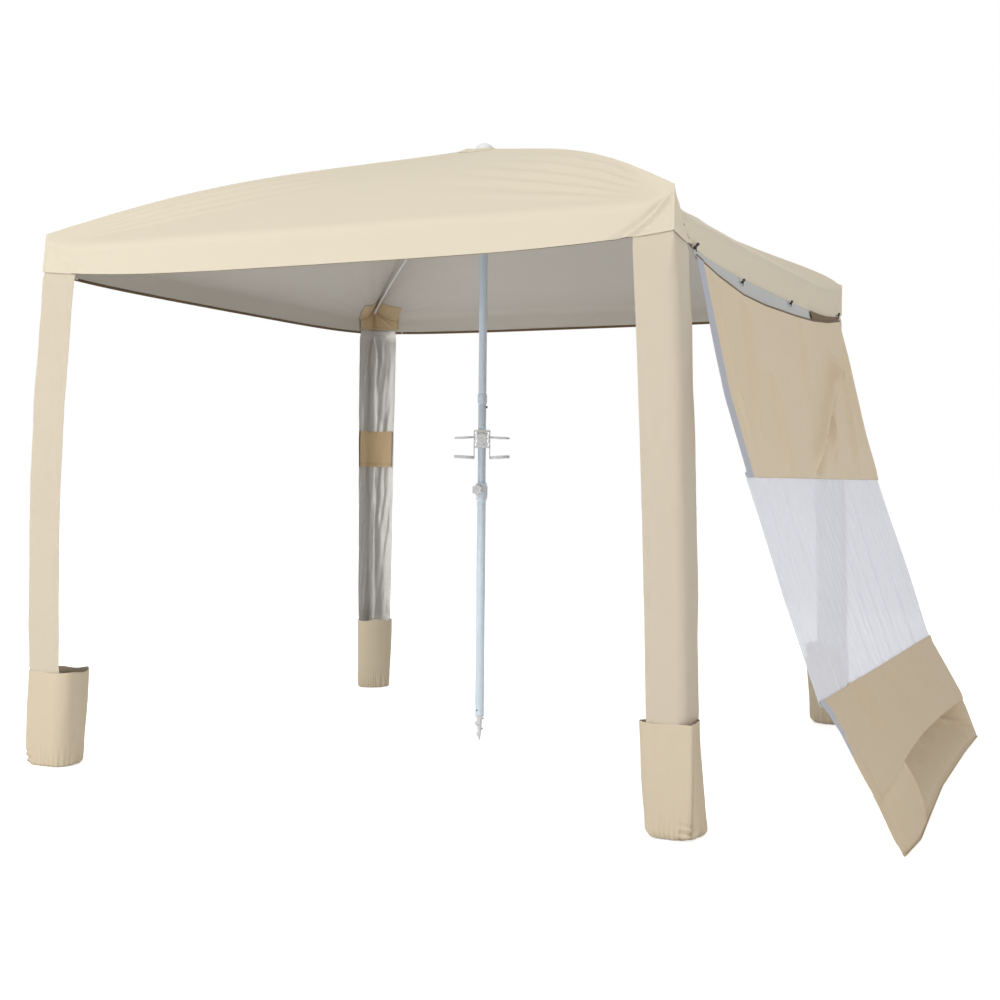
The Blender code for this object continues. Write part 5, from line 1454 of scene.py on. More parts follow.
    def seam_wave(self, y: float) -> float:
        """Uneven gathering along the seams."""
        return 0.0022 * ripple(Vector((y, 0.3, 0.0)), 0.16, 6.0) + 0.0006 * math.sin(y * 140)

    def upper(self) -> bpy.types.Object:
        """The upper beige panel with its brown top binding and turned front edge."""

        def relief(y: float, z: float, part: float) -> float:
            """Creases, waves and pleats that die out at the seams."""
            ends = smooth_step(part / 0.06) * smooth_step((1 - part) / 0.05)
            waves = 0.0024 * ripple(Vector((y, 0.0, z)), 0.16, 8.0)
            return 0.002 + (1.9 * self.hang(y, z) + waves) * ends + self.pleats(y, z, 0.0012) * ends

        def pick(i: int, j: int) -> int:
            """The binding on the first row, and at the front the turned edge, whose silver is darkened as painted
            shade.
            """
            return 2 if i == 0 else (1 if j < 5 else 0)

        obj = self.panel("wall_upper_panel_cloth",
                         (lambda y: interpolate(self.hem, y), lambda y: self.upper_seam + 0.4 * self.seam_wave(y)),
                         72, relief, (Finish.WALL, Finish.SILVER), (Finish.TURNED_EDGE, Finish.BINDING), pick,
                         turned_up=2, first=0.0065)
        attach(obj, "canopy_cloth", "wall_upper_panel", "wall_body")
        return obj

    def net(self) -> bpy.types.Object:
        """The see-through net panel."""

        def relief(y: float, z: float, part: float) -> float:
            """Pleats that die out at the seams."""
            ends = smooth_step(part / 0.04) * smooth_step((1 - part) / 0.04)
            return self.pleats(y, z, 0.0022) * ends - 0.0008

        def foot(y: float) -> float:
            """Height of the net's lower edge, behind the lower panel."""
            return self.lower_seam - 0.010 + self.seam_wave(y)

        obj = self.panel("wall_mesh_cloth", (lambda y: self.upper_seam + 0.012, foot), 64, relief,
                         (Finish.NET, Finish.NET))
        attach(obj, "white_mesh", "wall_mesh", "wall_body")
        return obj

    def lower(self) -> bpy.types.Object:
        """The lower beige panel down to the pocket's mouth."""

        def relief(y: float, z: float, part: float) -> float:
            """Pleats that start at the seam and grow calm toward the mouth."""
            return 0.002 + self.pleats(y, z, 0.0042) * (1 - 0.75 * part) * smooth_step(part / 0.12)

        def pick(i: int, j: int) -> int:
            """The turned edge at the front, its silver darkened as painted shade, narrower toward the mouth."""
            return 1 if j < 3 - i // 8 else 0

        obj = self.panel("wall_lower_panel_cloth",
                         (lambda y: self.lower_seam + self.seam_wave(y), self.mouth_height), 44, relief,
                         (Finish.LOWER_WALL, Finish.LOWER_WALL_IN), (Finish.TURNED_EDGE,), pick, turned_up=3)
        attach(obj, "pocket_cloth", "wall_lower_panel", "wall_body")
        return obj

    def mouth_height(self, y: float) -> float:
        """Height of the pocket's mouth across the wall."""
        (start, width), (low, slope, arch) = self.mouth_span, self.mouth
        share = min(1.0, max(0.0, (y - start) / width))
        return low + slope * share + arch * math.sin(math.pi * share ** 0.9)

    def strip(self) -> bpy.types.Object:
        """The silver strip that hangs the wall on the valance, in silver darkened as painted shade."""
        rows: Rows = []
        count = 8
        for i in range(count + 1):
            row = []
            for share in self.shares():
                y = self.across(1.47, share)
                high = self.canopy.hem(Corner.FRONT_RIGHT if y < 0 else Corner.BACK_RIGHT, abs(y), False) - 0.0004
                low = min(interpolate(self.hem, y), high) - 0.010
                z = high + (low - high) * i / count
                sway = 0.0035 * ripple(Vector((y * 2.2, z * 5, 0.0)), 0.12, 12.0)
                row.append(self.surface(y, z, -0.0018 + sway * min(1.0, 2 * i / count)))
            rows.append(row)
        obj = ClothCut("wall_header_strip_cloth", rows, Finish.SILVER_STRIP, Finish.SILVER, flip=True).build()
        attach(obj, "silver_cloth", "wall_header_strip", "wall_body")
        return obj

    def hook_loop(self) -> bpy.types.Object:
        """The brown hook-and-loop patch on the strip."""
        rows: Rows = []
        (start, end), (count, columns) = self.patch_span, (4, 40)
        for i in range(count + 1):
            row = []
            for j in range(columns + 1):
                y = start + (end - start) * j / columns
                high = self.canopy.hem(Corner.BACK_RIGHT, abs(y), False) - 0.003
                low = interpolate(self.hem, y) + 0.001
                z = high + (low - high) * i / count
                row.append(self.surface(y, z, 0.0034 + 0.0006 * ripple(Vector((y, z, 0.0)), 0.03, 1.0)))
            rows.append(row)
        obj = ClothCut("hook_loop_patch_cloth", rows, Finish.HOOK_LOOP, Finish.HOOK_LOOP, thickness=0.0016,
                       flip=True).build()
        attach(obj, "brown_hook_loop", "hook_loop_patch", "wall_body")
        return obj

    def sleeve(self) -> bpy.types.Object:
        """The open sand pocket along the wall's foot: closed at the front, then the sunk mouth and floor."""
        rows: Rows = []
        for k in range(self.sleeve_rows + 1):
            t = k / self.sleeve_rows
            row = []
            for share in self.shares():
                start = self.closed_share - 0.085 * t
                open_part = smooth_step((share - start) / 0.05) * smooth_step((1.0 - share) / 0.10)
                z = (self.mouth_height(self.across(0.15, share)) + 0.020) * (1 - t) ** 1.25
                y = self.across(z, share)
                sunk = smooth_step(t / 0.30) if t < 0.30 else 1 - smooth_step((t - 0.30) / 0.72) ** 0.9
                belly = math.sin(math.pi * t)
                tuck = self.tuck * smooth_step(share / 0.03) * (1 - smooth_step(t / 0.30))
                out = 0.0004 + 0.0026 * (1 - smooth_step(share / 0.02)) * (1 - t)
                out -= tuck + self.depth * open_part * sunk
                out += self.swell * smooth_step(share / 0.03) * (1 - smooth_step((share - start) / 0.03)) * belly
                out += self.rim_roll * crease(share - start - 0.004, 0.008) * belly
                ends = smooth_step((1 - share) / 0.05)
                slant = crease(0.9 * (share - 0.86) - 0.35 * (t - 0.30), 0.022)
                out += self.end_fold * slant * smooth_step((share - 0.80) / 0.08) * belly * ends
                wave = ripple(Vector((y * 1.5, z * 2.5, share)), 0.075, 13.0) * ends
                big, small = self.crumple
                out += (big * wave + small * math.sin(y * 60 + 7 * t) * ends) * belly * (0.3 + 0.7 * open_part)
                point = self.surface(y, z, 0.0)
                point.x += out
                point.z = max(0.0016, point.z + 0.0015 * abs(wave) * belly)
                row.append(point)
            rows.append(row)
        lip = rows[-1]
        rows.append([p + Vector((0.003, 0.0, 0.003)) for p in lip])
        obj = ClothCut("wall_sand_sleeve_cloth", rows, Finish.LOWER_WALL, Finish.LOWER_WALL, thickness=0.0015,
                       flip=True).build()
        attach(obj, "pocket_cloth", "wall_sand_sleeve", "frame")
        return obj


# ---------------------------------------------------------------- fittings


class Shaping:
    """A rigid piece modelled by hand, step by step, from a primitive."""

    def __init__(self, name: str) -> None:
        """Start with nothing selected."""
        self.name = name
        self.obj: bpy.types.Object | None = None
        bpy.ops.object.select_all(action="DESELECT")

    def take(self) -> "Shaping":
        """Keep the new primitive, with its place in its mesh."""
        self.obj = bpy.context.active_object
        self.obj.name = self.name
        self.obj.data.name = self.name
        bpy.ops.object.transform_apply(location=True, rotation=True, scale=True)
        return self

    @contextmanager
    def picked(self, test: Callable[[Vector, Vector], bool], kind: str = "FACE") -> Iterator[None]:
        """Edit mode with some faces or points selected, and object mode after it.

        Args:
            test: Says from its place and its normal whether one is selected.
            kind: FACE or VERT.

        Yields:
            Once, in edit mode.
        """
        bpy.context.view_layer.objects.active = self.obj
        bpy.ops.object.mode_set(mode="EDIT")
        bpy.ops.mesh.select_mode(type=kind)
        bpy.ops.mesh.select_all(action="DESELECT")
        bpy.ops.object.mode_set(mode="OBJECT")
        mesh = self.obj.data
        if kind == "FACE":
            for face in mesh.polygons:
                face.select = test(face.center, face.normal)
        else:
            for point in mesh.vertices:
                point.select = test(point.co, point.normal)
        bpy.ops.object.mode_set(mode="EDIT")
        yield
        bpy.ops.object.mode_set(mode="OBJECT")

    def block(self, low: tuple[float, float, float], high: tuple[float, float, float]) -> "Shaping":
        """Start from a cube between two corners."""
        middle = [(a + b) / 2 for a, b in zip(low, high)]
        bpy.ops.mesh.primitive_cube_add(size=1.0, location=middle, scale=[b - a for a, b in zip(low, high)])
        return self.take()

    def ring(self, centre: tuple[float, float, float], radius: float, wire: float) -> "Shaping":
        """Start from a level wire ring and flatten its inside a little."""
        bpy.ops.mesh.primitive_torus_add(location=centre, major_segments=72, minor_segments=14, major_radius=radius,
                                         minor_radius=wire)
        self.take()
        with self.picked(lambda place, way: (place.xy - Vector(centre).xy).length < radius - 0.6 * wire):
            bpy.ops.transform.resize(value=(1.02, 1.02, 1.0), center_override=centre)
        return self

    def turned(self, profile: Sequence[tuple[float, float]], sides: int = 64) -> "Shaping":
        """Draw a round piece up from its foot.

        Args:
            profile: Radius and height of each ring from the foot, also inward and back down for a hollow.
            sides: Number of sides.

        Returns:
            The piece.
        """
        (foot_r, foot_z), (r, z) = profile[:2]
        bpy.ops.mesh.primitive_cylinder_add(vertices=sides, radius=foot_r, depth=z - foot_z,
                                            location=(0.0, 0.0, (z + foot_z) / 2))
        self.take()
        with self.picked(lambda place, way: way.z > 0.99):
            bpy.ops.transform.resize(value=(r / foot_r, r / foot_r, 1.0), center_override=(0.0, 0.0, z))
            for new_r, new_z in profile[2:]:
                bpy.ops.mesh.extrude_region_move(TRANSFORM_OT_translate={"value": (0.0, 0.0, new_z - z)})
                bpy.ops.transform.resize(value=(new_r / r, new_r / r, 1.0), center_override=(0.0, 0.0, new_z))
                r, z = new_r, new_z
        return self

    def bore(self, radius: float) -> "Shaping":
        """Open a round hole up the middle by bridging between the two end faces."""
        with self.picked(lambda place, way: abs(way.z) > 0.99 and place.xy.length < 0.001):
            bpy.ops.mesh.inset(thickness=self.end_radius() - radius, use_individual=True)
            bpy.ops.mesh.bridge_edge_loops()
        return self

    def end_radius(self) -> float:
        """Radius of the widest end face of a turned piece."""
        mesh = self.obj.data
        return max(mesh.vertices[i].co.xy.length for face in mesh.polygons if face.select for i in face.vertices)

    def drill(self, radius: float) -> "Shaping":
        """Open a round hole upward through a piece that isn't round."""
        heights = [v.co.z for v in self.obj.data.vertices]
        low, high = min(heights), max(heights)
        bpy.ops.object.select_all(action="DESELECT")
        bpy.ops.mesh.primitive_cylinder_add(vertices=64, radius=radius, depth=2 * (high - low),
                                            location=(0.0, 0.0, (low + high) / 2))
        cutter = bpy.context.active_object
        hole = self.obj.modifiers.new("Bore", "BOOLEAN")
        hole.object = cutter
        hole.operation = "DIFFERENCE"
        apply_modifiers(self.obj)
        bpy.data.objects.remove(cutter)
        return self

    def cut(self, place: tuple[float, float, float], way: tuple[float, float, float]) -> None:
        """Add a line of edges where a plane crosses the piece."""
        with self.picked(lambda *face: True):
            bpy.ops.mesh.bisect(plane_co=place, plane_no=way)

    def push(self, test: Callable[[Vector, Vector], bool], step: tuple[float, float, float]) -> None:
        """Extrude the picked faces."""
        with self.picked(test):
            bpy.ops.mesh.extrude_region_move(TRANSFORM_OT_translate={"value": step})

    def windows(self, rim: float) -> None:
        """Open a window through every panel between the front and back faces."""
        with self.picked(lambda place, way: abs(way.y) > 0.99):
            bpy.ops.mesh.inset(thickness=rim, use_individual=True)
        for middle in [f.center.copy() for f in self.obj.data.polygons if f.select and f.normal.y < 0]:
            with self.picked(lambda place, way: abs(way.y) > 0.99 and (place.xz - middle.xz).length < 0.0002):
                bpy.ops.mesh.bridge_edge_loops()

    def lobes(self, count: int, depth: float, radius: float, sides: int) -> None:
        """Draw the side of a round piece in between its lobes."""
        per_lobe = sides // count
        for k in range(1, per_lobe):
            scale = 1 - depth * (0.5 - 0.5 * math.cos(2 * math.pi * k * count / sides)) / radius
            with self.picked(lambda place, way: place.xy.length > 0.6 * radius
                             and round(math.atan2(place.y, place.x) * sides / (2 * math.pi)) % per_lobe == k, "VERT"):
                bpy.ops.transform.resize(value=(scale, scale, 1.0), center_override=(0.0, 0.0, 0.0))

    def soften(self, width: float, segments: int = 2) -> "Shaping":
        """Round the sharp edges."""
        bevel = self.obj.modifiers.new("Edges", "BEVEL")
        bevel.width = width
        bevel.segments = segments
        bevel.limit_method = "ANGLE"
        bevel.angle_limit = math.radians(38)
        apply_modifiers(self.obj)
        return self

    def move(self, matrix: Matrix) -> "Shaping":
        """Move the mesh, with the object left at the origin."""
        self.obj.data.transform(matrix)
        return self

    def join(self, others: Sequence["Shaping"]) -> "Shaping":
        """Join other pieces to this one."""
        bpy.ops.object.select_all(action="DESELECT")
        for part in (*others, self):
            part.obj.select_set(True)
        bpy.context.view_layer.objects.active = self.obj
        bpy.ops.object.join()
        return self

    def settle(self, node: str, finish: Finish) -> bpy.types.Object:
        """Finish the piece in place of a plain node.

        Args:
            node: The node that it stands for, which also gives its body.
            finish: Its finish.

        Returns:
            The finished object.
        """
        bpy.ops.object.select_all(action="DESELECT")
        self.obj.select_set(True)
        bpy.context.view_layer.objects.active = self.obj
        bpy.ops.object.shade_smooth_by_angle(angle=math.radians(32))
        self.obj.data.materials.clear()
        self.obj.data.materials.append(finish.look())
        attach(self.obj, SLOTS[node], node, body_of(node))
        return self.obj


@dataclass
class Pole:
    """The pole's three sections, the joint collar with its push button, and the cap."""

    wall: float = 0.0012
    rim: float = 0.0004
    roll_heights: tuple[float, ...] = (0.0955, 0.1035, 0.1115, 0.1195)
    roll_depth: float = 0.0007
    rivet_radius: float = 0.0026
    view_angle: float = math.radians(24.85)
    dome_steps: int = 12

    def tube(self, name: str, node: str, finish: Finish, rolls: Sequence[float] = ()) -> bpy.types.Object:
        """One pole section with rolled rings where it is gripped."""
        low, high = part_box(node)
        radius = high.x
        profile = [(radius, low.z)]
        for z in rolls:
            for step, depth in ((-0.0022, 0.0), (-0.0008, self.roll_depth), (0.0008, self.roll_depth), (0.0022, 0.0)):
                profile.append((radius - depth, z + step))
        profile.append((radius, high.z))
        piece = Shaping(name).turned(profile, 72).bore(radius - self.wall).soften(self.rim)
        return piece.settle(node, finish)

    def rivet(self) -> bpy.types.Object:
        """The small dark lock pin at the foot of the lower section."""
        low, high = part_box("lower_pole")
        r = self.rivet_radius
        piece = Shaping("foot_lock_pin").turned([(r, -0.003), (r, 0.0004), (0.8 * r, 0.001), (0.4 * r, 0.0013)], 24)
        turn = Matrix.Rotation(self.view_angle + math.radians(-128), 4, "Z") @ Matrix.Rotation(math.pi / 2, 4, "Y")
        lift = Matrix.Translation((0.0, 0.0, low.z + 0.0165))
        piece.move(lift @ turn @ Matrix.Translation((0.0, 0.0, high.x)))
        piece.obj.data.materials.append(Finish.BLACK_PLASTIC.look())
        attach(piece.obj, "black_plastic", body=body_of("lower_pole"))
        return piece.obj

    def collar(self) -> bpy.types.Object:
        """The collar over the pole joint, tapered at both ends."""
        low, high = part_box("joint_collar")
        r, pole = high.x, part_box("upper_pole")[1].x
        z0, z1 = low.z, high.z
        profile = [(pole + 0.0007, z0), (r - 0.0004, z0 + 0.003), (r, z0 + 0.007), (r, z0 + 0.0135),
                   (r - 0.0005, z0 + 0.0142),
                   (r - 0.0005, z0 + 0.0158), (r, z0 + 0.0165), (r, z1 - 0.007), (r - 0.0004, z1 - 0.003),
                   (pole + 0.0007, z1)]
        collar = Shaping("pole_collar").turned(profile, 72).bore(pole + 0.0002)
        # The collar takes the darker copy of the pole paint, as painted shade.
        return collar.soften(self.rim).settle("joint_collar", Finish.TUBE_UPPER)

    def cap(self) -> bpy.types.Object:
        """The domed cap with its rolled rim and its plug."""
        low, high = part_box("finial_cap")
        r, top = high.x, high.z
        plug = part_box("upper_pole")[1].x - self.wall - 0.0003
        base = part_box("crown_washer")[1].z + 0.0020
        profile = [(plug, low.z), (plug, base), (0.86 * r, base), (0.94 * r, base + 0.0004),
                   (0.985 * r, base + 0.0014), (r, base + 0.0028),
                   (0.985 * r, base + 0.0044), (0.95 * r, base + 0.0052), (0.93 * r, base + 0.0056)]
        for i in range(1, self.dome_steps):
            a = math.pi / 2 * i / self.dome_steps
            profile.append((0.93 * r * math.cos(a), base + 0.0056 + (top - base - 0.0056) * math.sin(a)))
        profile.append((0.02 * r, top))
        return Shaping("crown_cap").turned(profile, 72).settle("finial_cap", Finish.WHITE_PLASTIC)

    def button(self) -> bpy.types.Object:
        """The domed push button of the pole joint."""
        low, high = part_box("lock_button")
        middle = (low + high) / 2
        out = math.hypot(high.x, high.y) - 0.0009
        r = (high.z - low.z) / 2
        profile = [(0.72 * r, 0.007), (0.72 * r, 0.0082), (r, 0.0085), (r, 0.0094), (0.72 * r, 0.0096),
                   (0.72 * r, out - 0.0015), (0.62 * r, out - 0.0006), (0.40 * r, out - 0.0001), (0.15 * r, out)]
        angle = math.atan2(middle.y, middle.x)
        turn = Matrix.Rotation(angle, 4, "Z") @ Matrix.Rotation(math.pi / 2, 4, "Y")
        button = Shaping("pole_push_button").turned(profile, 32).move(Matrix.Translation((0.0, 0.0, middle.z)) @ turn)
        return button.settle("lock_button", Finish.BLACK_PLASTIC)

    def build(self) -> list[bpy.types.Object]:
        """All the pole's pieces."""
        # The lower section takes the lighter copy of the pole paint as painted light, the others the darker copy as
        # painted shade.
        return [self.tube("pole_upper_tube", "upper_pole", Finish.TUBE_UPPER),
                self.tube("pole_middle_tube", "middle_pole", Finish.TUBE_UPPER),
                self.tube("pole_lower_tube", "lower_pole", Finish.TUBE_LOWER, self.roll_heights), self.rivet(),
                self.collar(), self.cap(), self.button()]


@dataclass
class Knob:
    """A lobed clamping knob with a raised face, a dished middle and its screw stem.

    Attributes:
        name: The piece's name.
        node: The node that it stands for.
        angle: Direction from the pole's axis.
        face: Distance from the axis to the knob's back.
        height: Height above the ground.
        radius: Radius over its lobes.
        lobe: Depth between its lobes.
        lobe_count: How many lobes it has.
        tip: Distance from the axis to the stem's tip.
        thick: Thickness.
        stem: Radius of the stem.
        per_lobe: Sides for each lobe.
    """

    name: str
    node: str
    angle: float
    face: float
    height: float
    radius: float
    lobe: float
    lobe_count: int
    tip: float
    thick: float = 0.012
    stem: float = 0.0035
    per_lobe: int = 12

    def build(self) -> bpy.types.Object:
        """The knob, pointing level out from the pole."""
        r, h = self.radius, self.thick
        sides = self.lobe_count * self.per_lobe
        profile = [(0.84 * r, 0.0), (0.96 * r, 0.001), (r, 0.003), (r, h - 0.0035), (0.95 * r, h - 0.0012),
                   (0.86 * r, h - 0.0002),
                   (0.62 * r, h), (0.56 * r, h - 0.0014), (0.34 * r, h - 0.0016), (0.30 * r, h - 0.0004),
                   (0.20 * r, h), (0.17 * r, h - 0.0016), (0.03 * r, h - 0.0018)]
        piece = Shaping(self.name).turned(profile, sides)
        piece.lobes(self.lobe_count, self.lobe, r, sides)
        stem = Shaping(self.name + "_stem").turned([(0.8 * self.stem, self.tip - self.face),
                                                    (self.stem, self.tip - self.face + 0.0008),
                                                    (self.stem, 0.0012)], 32)
        piece.join([stem])
        turn = Matrix.Translation((0.0, 0.0, self.height)) @ Matrix.Rotation(self.angle, 4, "Z")
        piece.move(turn @ Matrix.Translation((self.face, 0.0, 0.0)) @ Matrix.Rotation(math.pi / 2, 4, "Y"))
        return piece.settle(self.node, Finish.WHITE_PLASTIC)


@dataclass
class HeightClamp:
    """The clamp on top of the lower section with its boss and star knob."""

    lip: float = 0.0013
    lip_height: float = 0.006
    bore: float = 0.0152
    boss_width: float = 0.020
    boss_height: float = 0.026
    boss_z: float = 0.853
    boss_reach: float = 0.027
    boss_step: float = 0.003
    sunk: float = 0.0008
    rib_half: float = 0.0012
    rib_stand: float = 0.0018
    rib_turn: float = 1.9
    angle: float = math.radians(-89.4)

    def build(self) -> list[bpy.types.Object]:
        """The clamp and its knob."""
        low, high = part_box("height_clamp")
        r, z0, z1 = high.x, low.z, high.z
        waist = r - self.lip
        profile = [(r - 0.0008, z0), (r, z0 + 0.0012), (r, z0 + self.lip_height),
                   (waist, z0 + self.lip_height + 0.002),
                   (waist, z1 - self.lip_height - 0.002), (r, z1 - self.lip_height), (r, z1 - 0.0012),
                   (r - 0.0008, z1)]
        body = Shaping("clamp_collar").turned(profile, 72).bore(self.bore).soften(0.0004)
        half, tall = self.boss_width / 2, self.boss_height / 2
        boss = Shaping("clamp_boss").block((self.bore + self.sunk, -half, self.boss_z - tall),
                                           (self.boss_reach - self.boss_step, half, self.boss_z + tall))
        with boss.picked(lambda place, way: way.x > 0.99):
            bpy.ops.mesh.inset(thickness=self.boss_step)
            bpy.ops.mesh.extrude_region_move(TRANSFORM_OT_translate={"value": (self.boss_step, 0.0, 0.0)})
        boss.soften(0.0016, 3).move(Matrix.Rotation(self.angle, 4, "Z"))
        ribs = []
        for side in (-1, 1):
            rib = Shaping(f"clamp_rib_{side}").block((self.bore + self.sunk, -self.rib_half,
                                                      z0 + self.lip_height + 0.001),
                                                     (r + self.rib_stand, self.rib_half,
                                                      z1 - self.lip_height - 0.001))
            with rib.picked(lambda place, way: way.x > 0.99):
                bpy.ops.transform.resize(value=(1.0, 1.0, 0.82), center_override=(r, 0.0, (z0 + z1) / 2))
            ribs.append(rib.soften(0.0005).move(Matrix.Rotation(self.angle + side * self.rib_turn, 4, "Z")))
        made = body.join([boss, *ribs]).settle("height_clamp", Finish.CLAMP_PLASTIC)
        knob = Knob("clamp_star_knob", "height_knob", angle=self.angle, face=self.boss_reach + 0.001,
                    height=self.boss_z, radius=0.0200, lobe=0.0046, lobe_count=6, tip=0.0175)
        return [made, knob.build()]


@dataclass
class CupHolder:
    """The cup holder: a trussed bracket, two cup rings on arms, two trays on straps, and a round knob."""

    angle: float = math.radians(24.85)
    half: float = 0.0245
    depth: float = 0.0205
    body_half: float = 0.0168
    bore: float = 0.0138
    flange: float = 0.0055
    web: float = 0.0026
    ring_radius: float = 0.0303
    ring_wire: float = 0.0030
    reach: float = 0.0610
    ring_z: float = 1.031
    tray_z: float = 0.967
    tray_radius: float = 0.0330
    strap: float = 0.0036
    strap_half: float = 0.0095
    tilt: float = math.radians(3.0)
    foot: float = 0.995
    tray_drop: float = 0.010
    tray_wall: float = 0.0024
    shelf: float = 0.0042
    arm_half: float = 0.0028

    def body(self) -> Shaping:
        """The block round the pole with a flange at either end."""
        z0, z1 = self.foot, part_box("cup_holder")[1].z
        piece = Shaping("cup_bracket").block((-self.body_half, -self.depth + 0.001, z0),
                                             (self.body_half, self.depth - 0.001, z1))
        for z in (z0 + self.flange, z1 - self.flange):
            piece.cut((0.0, 0.0, z), (0.0, 0.0, 1.0))
        ends = lambda place: not z0 + self.flange < place.z < z1 - self.flange
        for side in (-1, 1):
            piece.push(lambda place, way: way.x * side > 0.99 and ends(place),
                       (side * (self.half - self.body_half), 0.0, 0.0))
        with piece.picked(lambda place, way: abs(way.y) > 0.99 and abs(place.x) < self.body_half and not ends(place)):
            bpy.ops.mesh.inset(thickness=0.0022, depth=-0.0009, use_individual=True)
        return piece.soften(0.0011).drill(self.bore)

    def truss(self, side: int) -> Shaping:
        """The web of crossed bars between the block and a strap."""
        z0, z1 = self.foot + 0.6 * self.flange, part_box("cup_holder")[1].z - 0.6 * self.flange
        a, b = sorted((side * (self.body_half - 0.0015), side * (self.half + 0.0006)))
        piece = Shaping(f"cup_truss_{side}").block((a, -self.web, z0), (b, self.web, z1))
        middle = (z0 + z1) / 2
        piece.cut((0.0, 0.0, middle), (0.0, 0.0, 1.0))
        tall = (z1 - z0) / 2
        for end in (-1, 1):
            way = Vector((end * side * tall, 0.0, b - a)).normalized()
            with piece.picked(lambda place, normal: (place.z - middle) * end > 0):
                bpy.ops.mesh.bisect(plane_co=((a + b) / 2, 0.0, middle + end * tall / 2), plane_no=way)
        piece.windows(0.0009)
        return piece

    def side(self, side: int) -> list[Shaping]:
        """One side's strap with its arm and shelf, its ring and its tray."""
        x0, x1 = sorted((side * self.half, side * (self.half + self.strap)))
        foot, top = self.tray_z - self.tray_drop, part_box("cup_holder")[1].z - 0.002
        strap = Shaping(f"cup_strap_{side}").block((x0, -self.strap_half, foot), (x1, self.strap_half, top))
        for z in (foot + self.shelf, self.ring_z - self.arm_half, self.ring_z + self.arm_half):
            strap.cut((0.0, 0.0, z), (0.0, 0.0, 1.0))
        out = self.reach - self.tray_radius - self.half - self.strap
        strap.push(lambda place, way: way.x * side > 0.99 and (place.z < foot + self.shelf
                                                               or abs(place.z - self.ring_z) < self.arm_half),
                   (side * (out + 0.0025), 0.0, 0.0))
        strap.soften(0.0009)
        ring = Shaping(f"cup_ring_{side}").ring((side * self.reach, 0.0, self.ring_z), self.ring_radius,
                                                self.ring_wire)
        r, wall, rim = self.tray_radius, self.tray_wall, self.tray_drop
        profile = [(r - 0.0014, 0.0), (r, 0.0014), (r, rim), (r - wall, rim), (r - wall - 0.0006, 0.003),
                   (0.5 * r, 0.0026), (0.46 * r, 0.0034), (0.16 * r, 0.0034)]
        tray = Shaping(f"cup_tray_{side}").turned(profile, 72).soften(0.0005)
        tray.move(Matrix.Translation((side * self.reach, 0.0, foot)))
        pivot = Vector((side * (self.reach - self.tray_radius), 0.0, 0.0))
        for piece, z, turn in ((ring, self.ring_z, side), (tray, self.tray_z, -side)):
            away = Matrix.Translation((pivot.x, 0.0, z))
            piece.move(away @ Matrix.Rotation(self.tilt * turn, 4, "Y") @ away.inverted())
        return [strap, ring, tray]

    def build(self) -> list[bpy.types.Object]:
        """The cup holder and its knob."""
        body = self.body()
        parts = []
        for side in (-1, 1):
            parts += [self.truss(side), *self.side(side)]
        body.join(parts).move(Matrix.Rotation(self.angle, 4, "Z"))
        made = body.settle("cup_holder", Finish.WHITE_PLASTIC)
        knob = Knob("cup_clamp_knob", "cup_holder_knob", angle=self.angle - math.pi / 2, face=self.depth + 0.001,
                    height=1.026, radius=0.0195, lobe=0.0016, lobe_count=8, tip=0.0141, per_lobe=10)
        return [made, knob.build()]


@dataclass
class SandAnchor:
    """The screw anchor at the pole's foot."""

    plug: float = 0.0134
    shoulder: float = 0.0150
    core: float = 0.0088
    flight_radius: float = 0.0176
    flight_top: float = 0.077
    flight_drop: float = 0.062
    turns: float = 1.75
    steps: int = 28
    taper: float = 0.52
    thick: float = 0.0026
    start: float = math.radians(25)

    def build(self) -> list[bpy.types.Object]:
        """The core with its screw flight."""
        low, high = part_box("sand_anchor")
        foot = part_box("lower_pole")[0].z
        core = self.core
        profile = [(0.0006, low.z), (0.0030, 0.008), (0.0050, 0.020), (0.80 * core, 0.045), (core, 0.068),
                   (1.10 * core, foot - 0.014),
                   (0.80 * self.shoulder, foot - 0.0075), (self.shoulder - 0.0004, foot - 0.0050),
                   (self.shoulder, foot - 0.0032),
                   (self.shoulder, foot - 0.0003), (self.plug, foot - 0.0002), (self.plug, high.z - 0.002),
                   (self.plug - 0.002, high.z)]
        body = Shaping("anchor_screw").turned(profile, 56).soften(0.0005)
        flight = Shaping("anchor_flight")
        bpy.ops.mesh.primitive_plane_add(size=1.0, location=(0.0, 0.0, self.flight_top))
        flight.take()
        inner, outer = 0.45 * core, self.flight_radius
        with flight.picked(lambda place, way: place.y > 0, "VERT"):
            bpy.ops.mesh.delete(type="VERT")
        flight.move(Matrix.Translation(((inner + outer) / 2, 0.0, 0.0))
                    @ Matrix.Diagonal((outer - inner, 0.0, 1.0, 1.0)))
        screw = flight.obj.modifiers.new("Flight", "SCREW")
        screw.angle = 2 * math.pi * self.turns
        screw.screw_offset = -self.flight_drop
        bands = round(self.steps * self.turns)
        screw.steps = screw.render_steps = bands
        screw.iterations = 1
        apply_modifiers(flight.obj)
        for k in range(1, bands + 1):
            z = self.flight_top - self.flight_drop * k / bands
            scale = 1 - self.taper * (k / bands) ** 1.4
            with flight.picked(lambda place, way: abs(place.z - z) < 0.0002 and place.xy.length > inner + 0.001,
                               "VERT"):
                bpy.ops.transform.resize(value=(scale, scale, 1.0), center_override=(0.0, 0.0, z))
        plate = flight.obj.modifiers.new("Plate", "SOLIDIFY")
        plate.thickness = self.thick
        plate.offset = 0.0
        apply_modifiers(flight.obj)
        flight.soften(0.0005).move(Matrix.Rotation(self.start, 4, "Z"))
        return [body.join([flight]).settle("sand_anchor", Finish.WHITE_PLASTIC)]


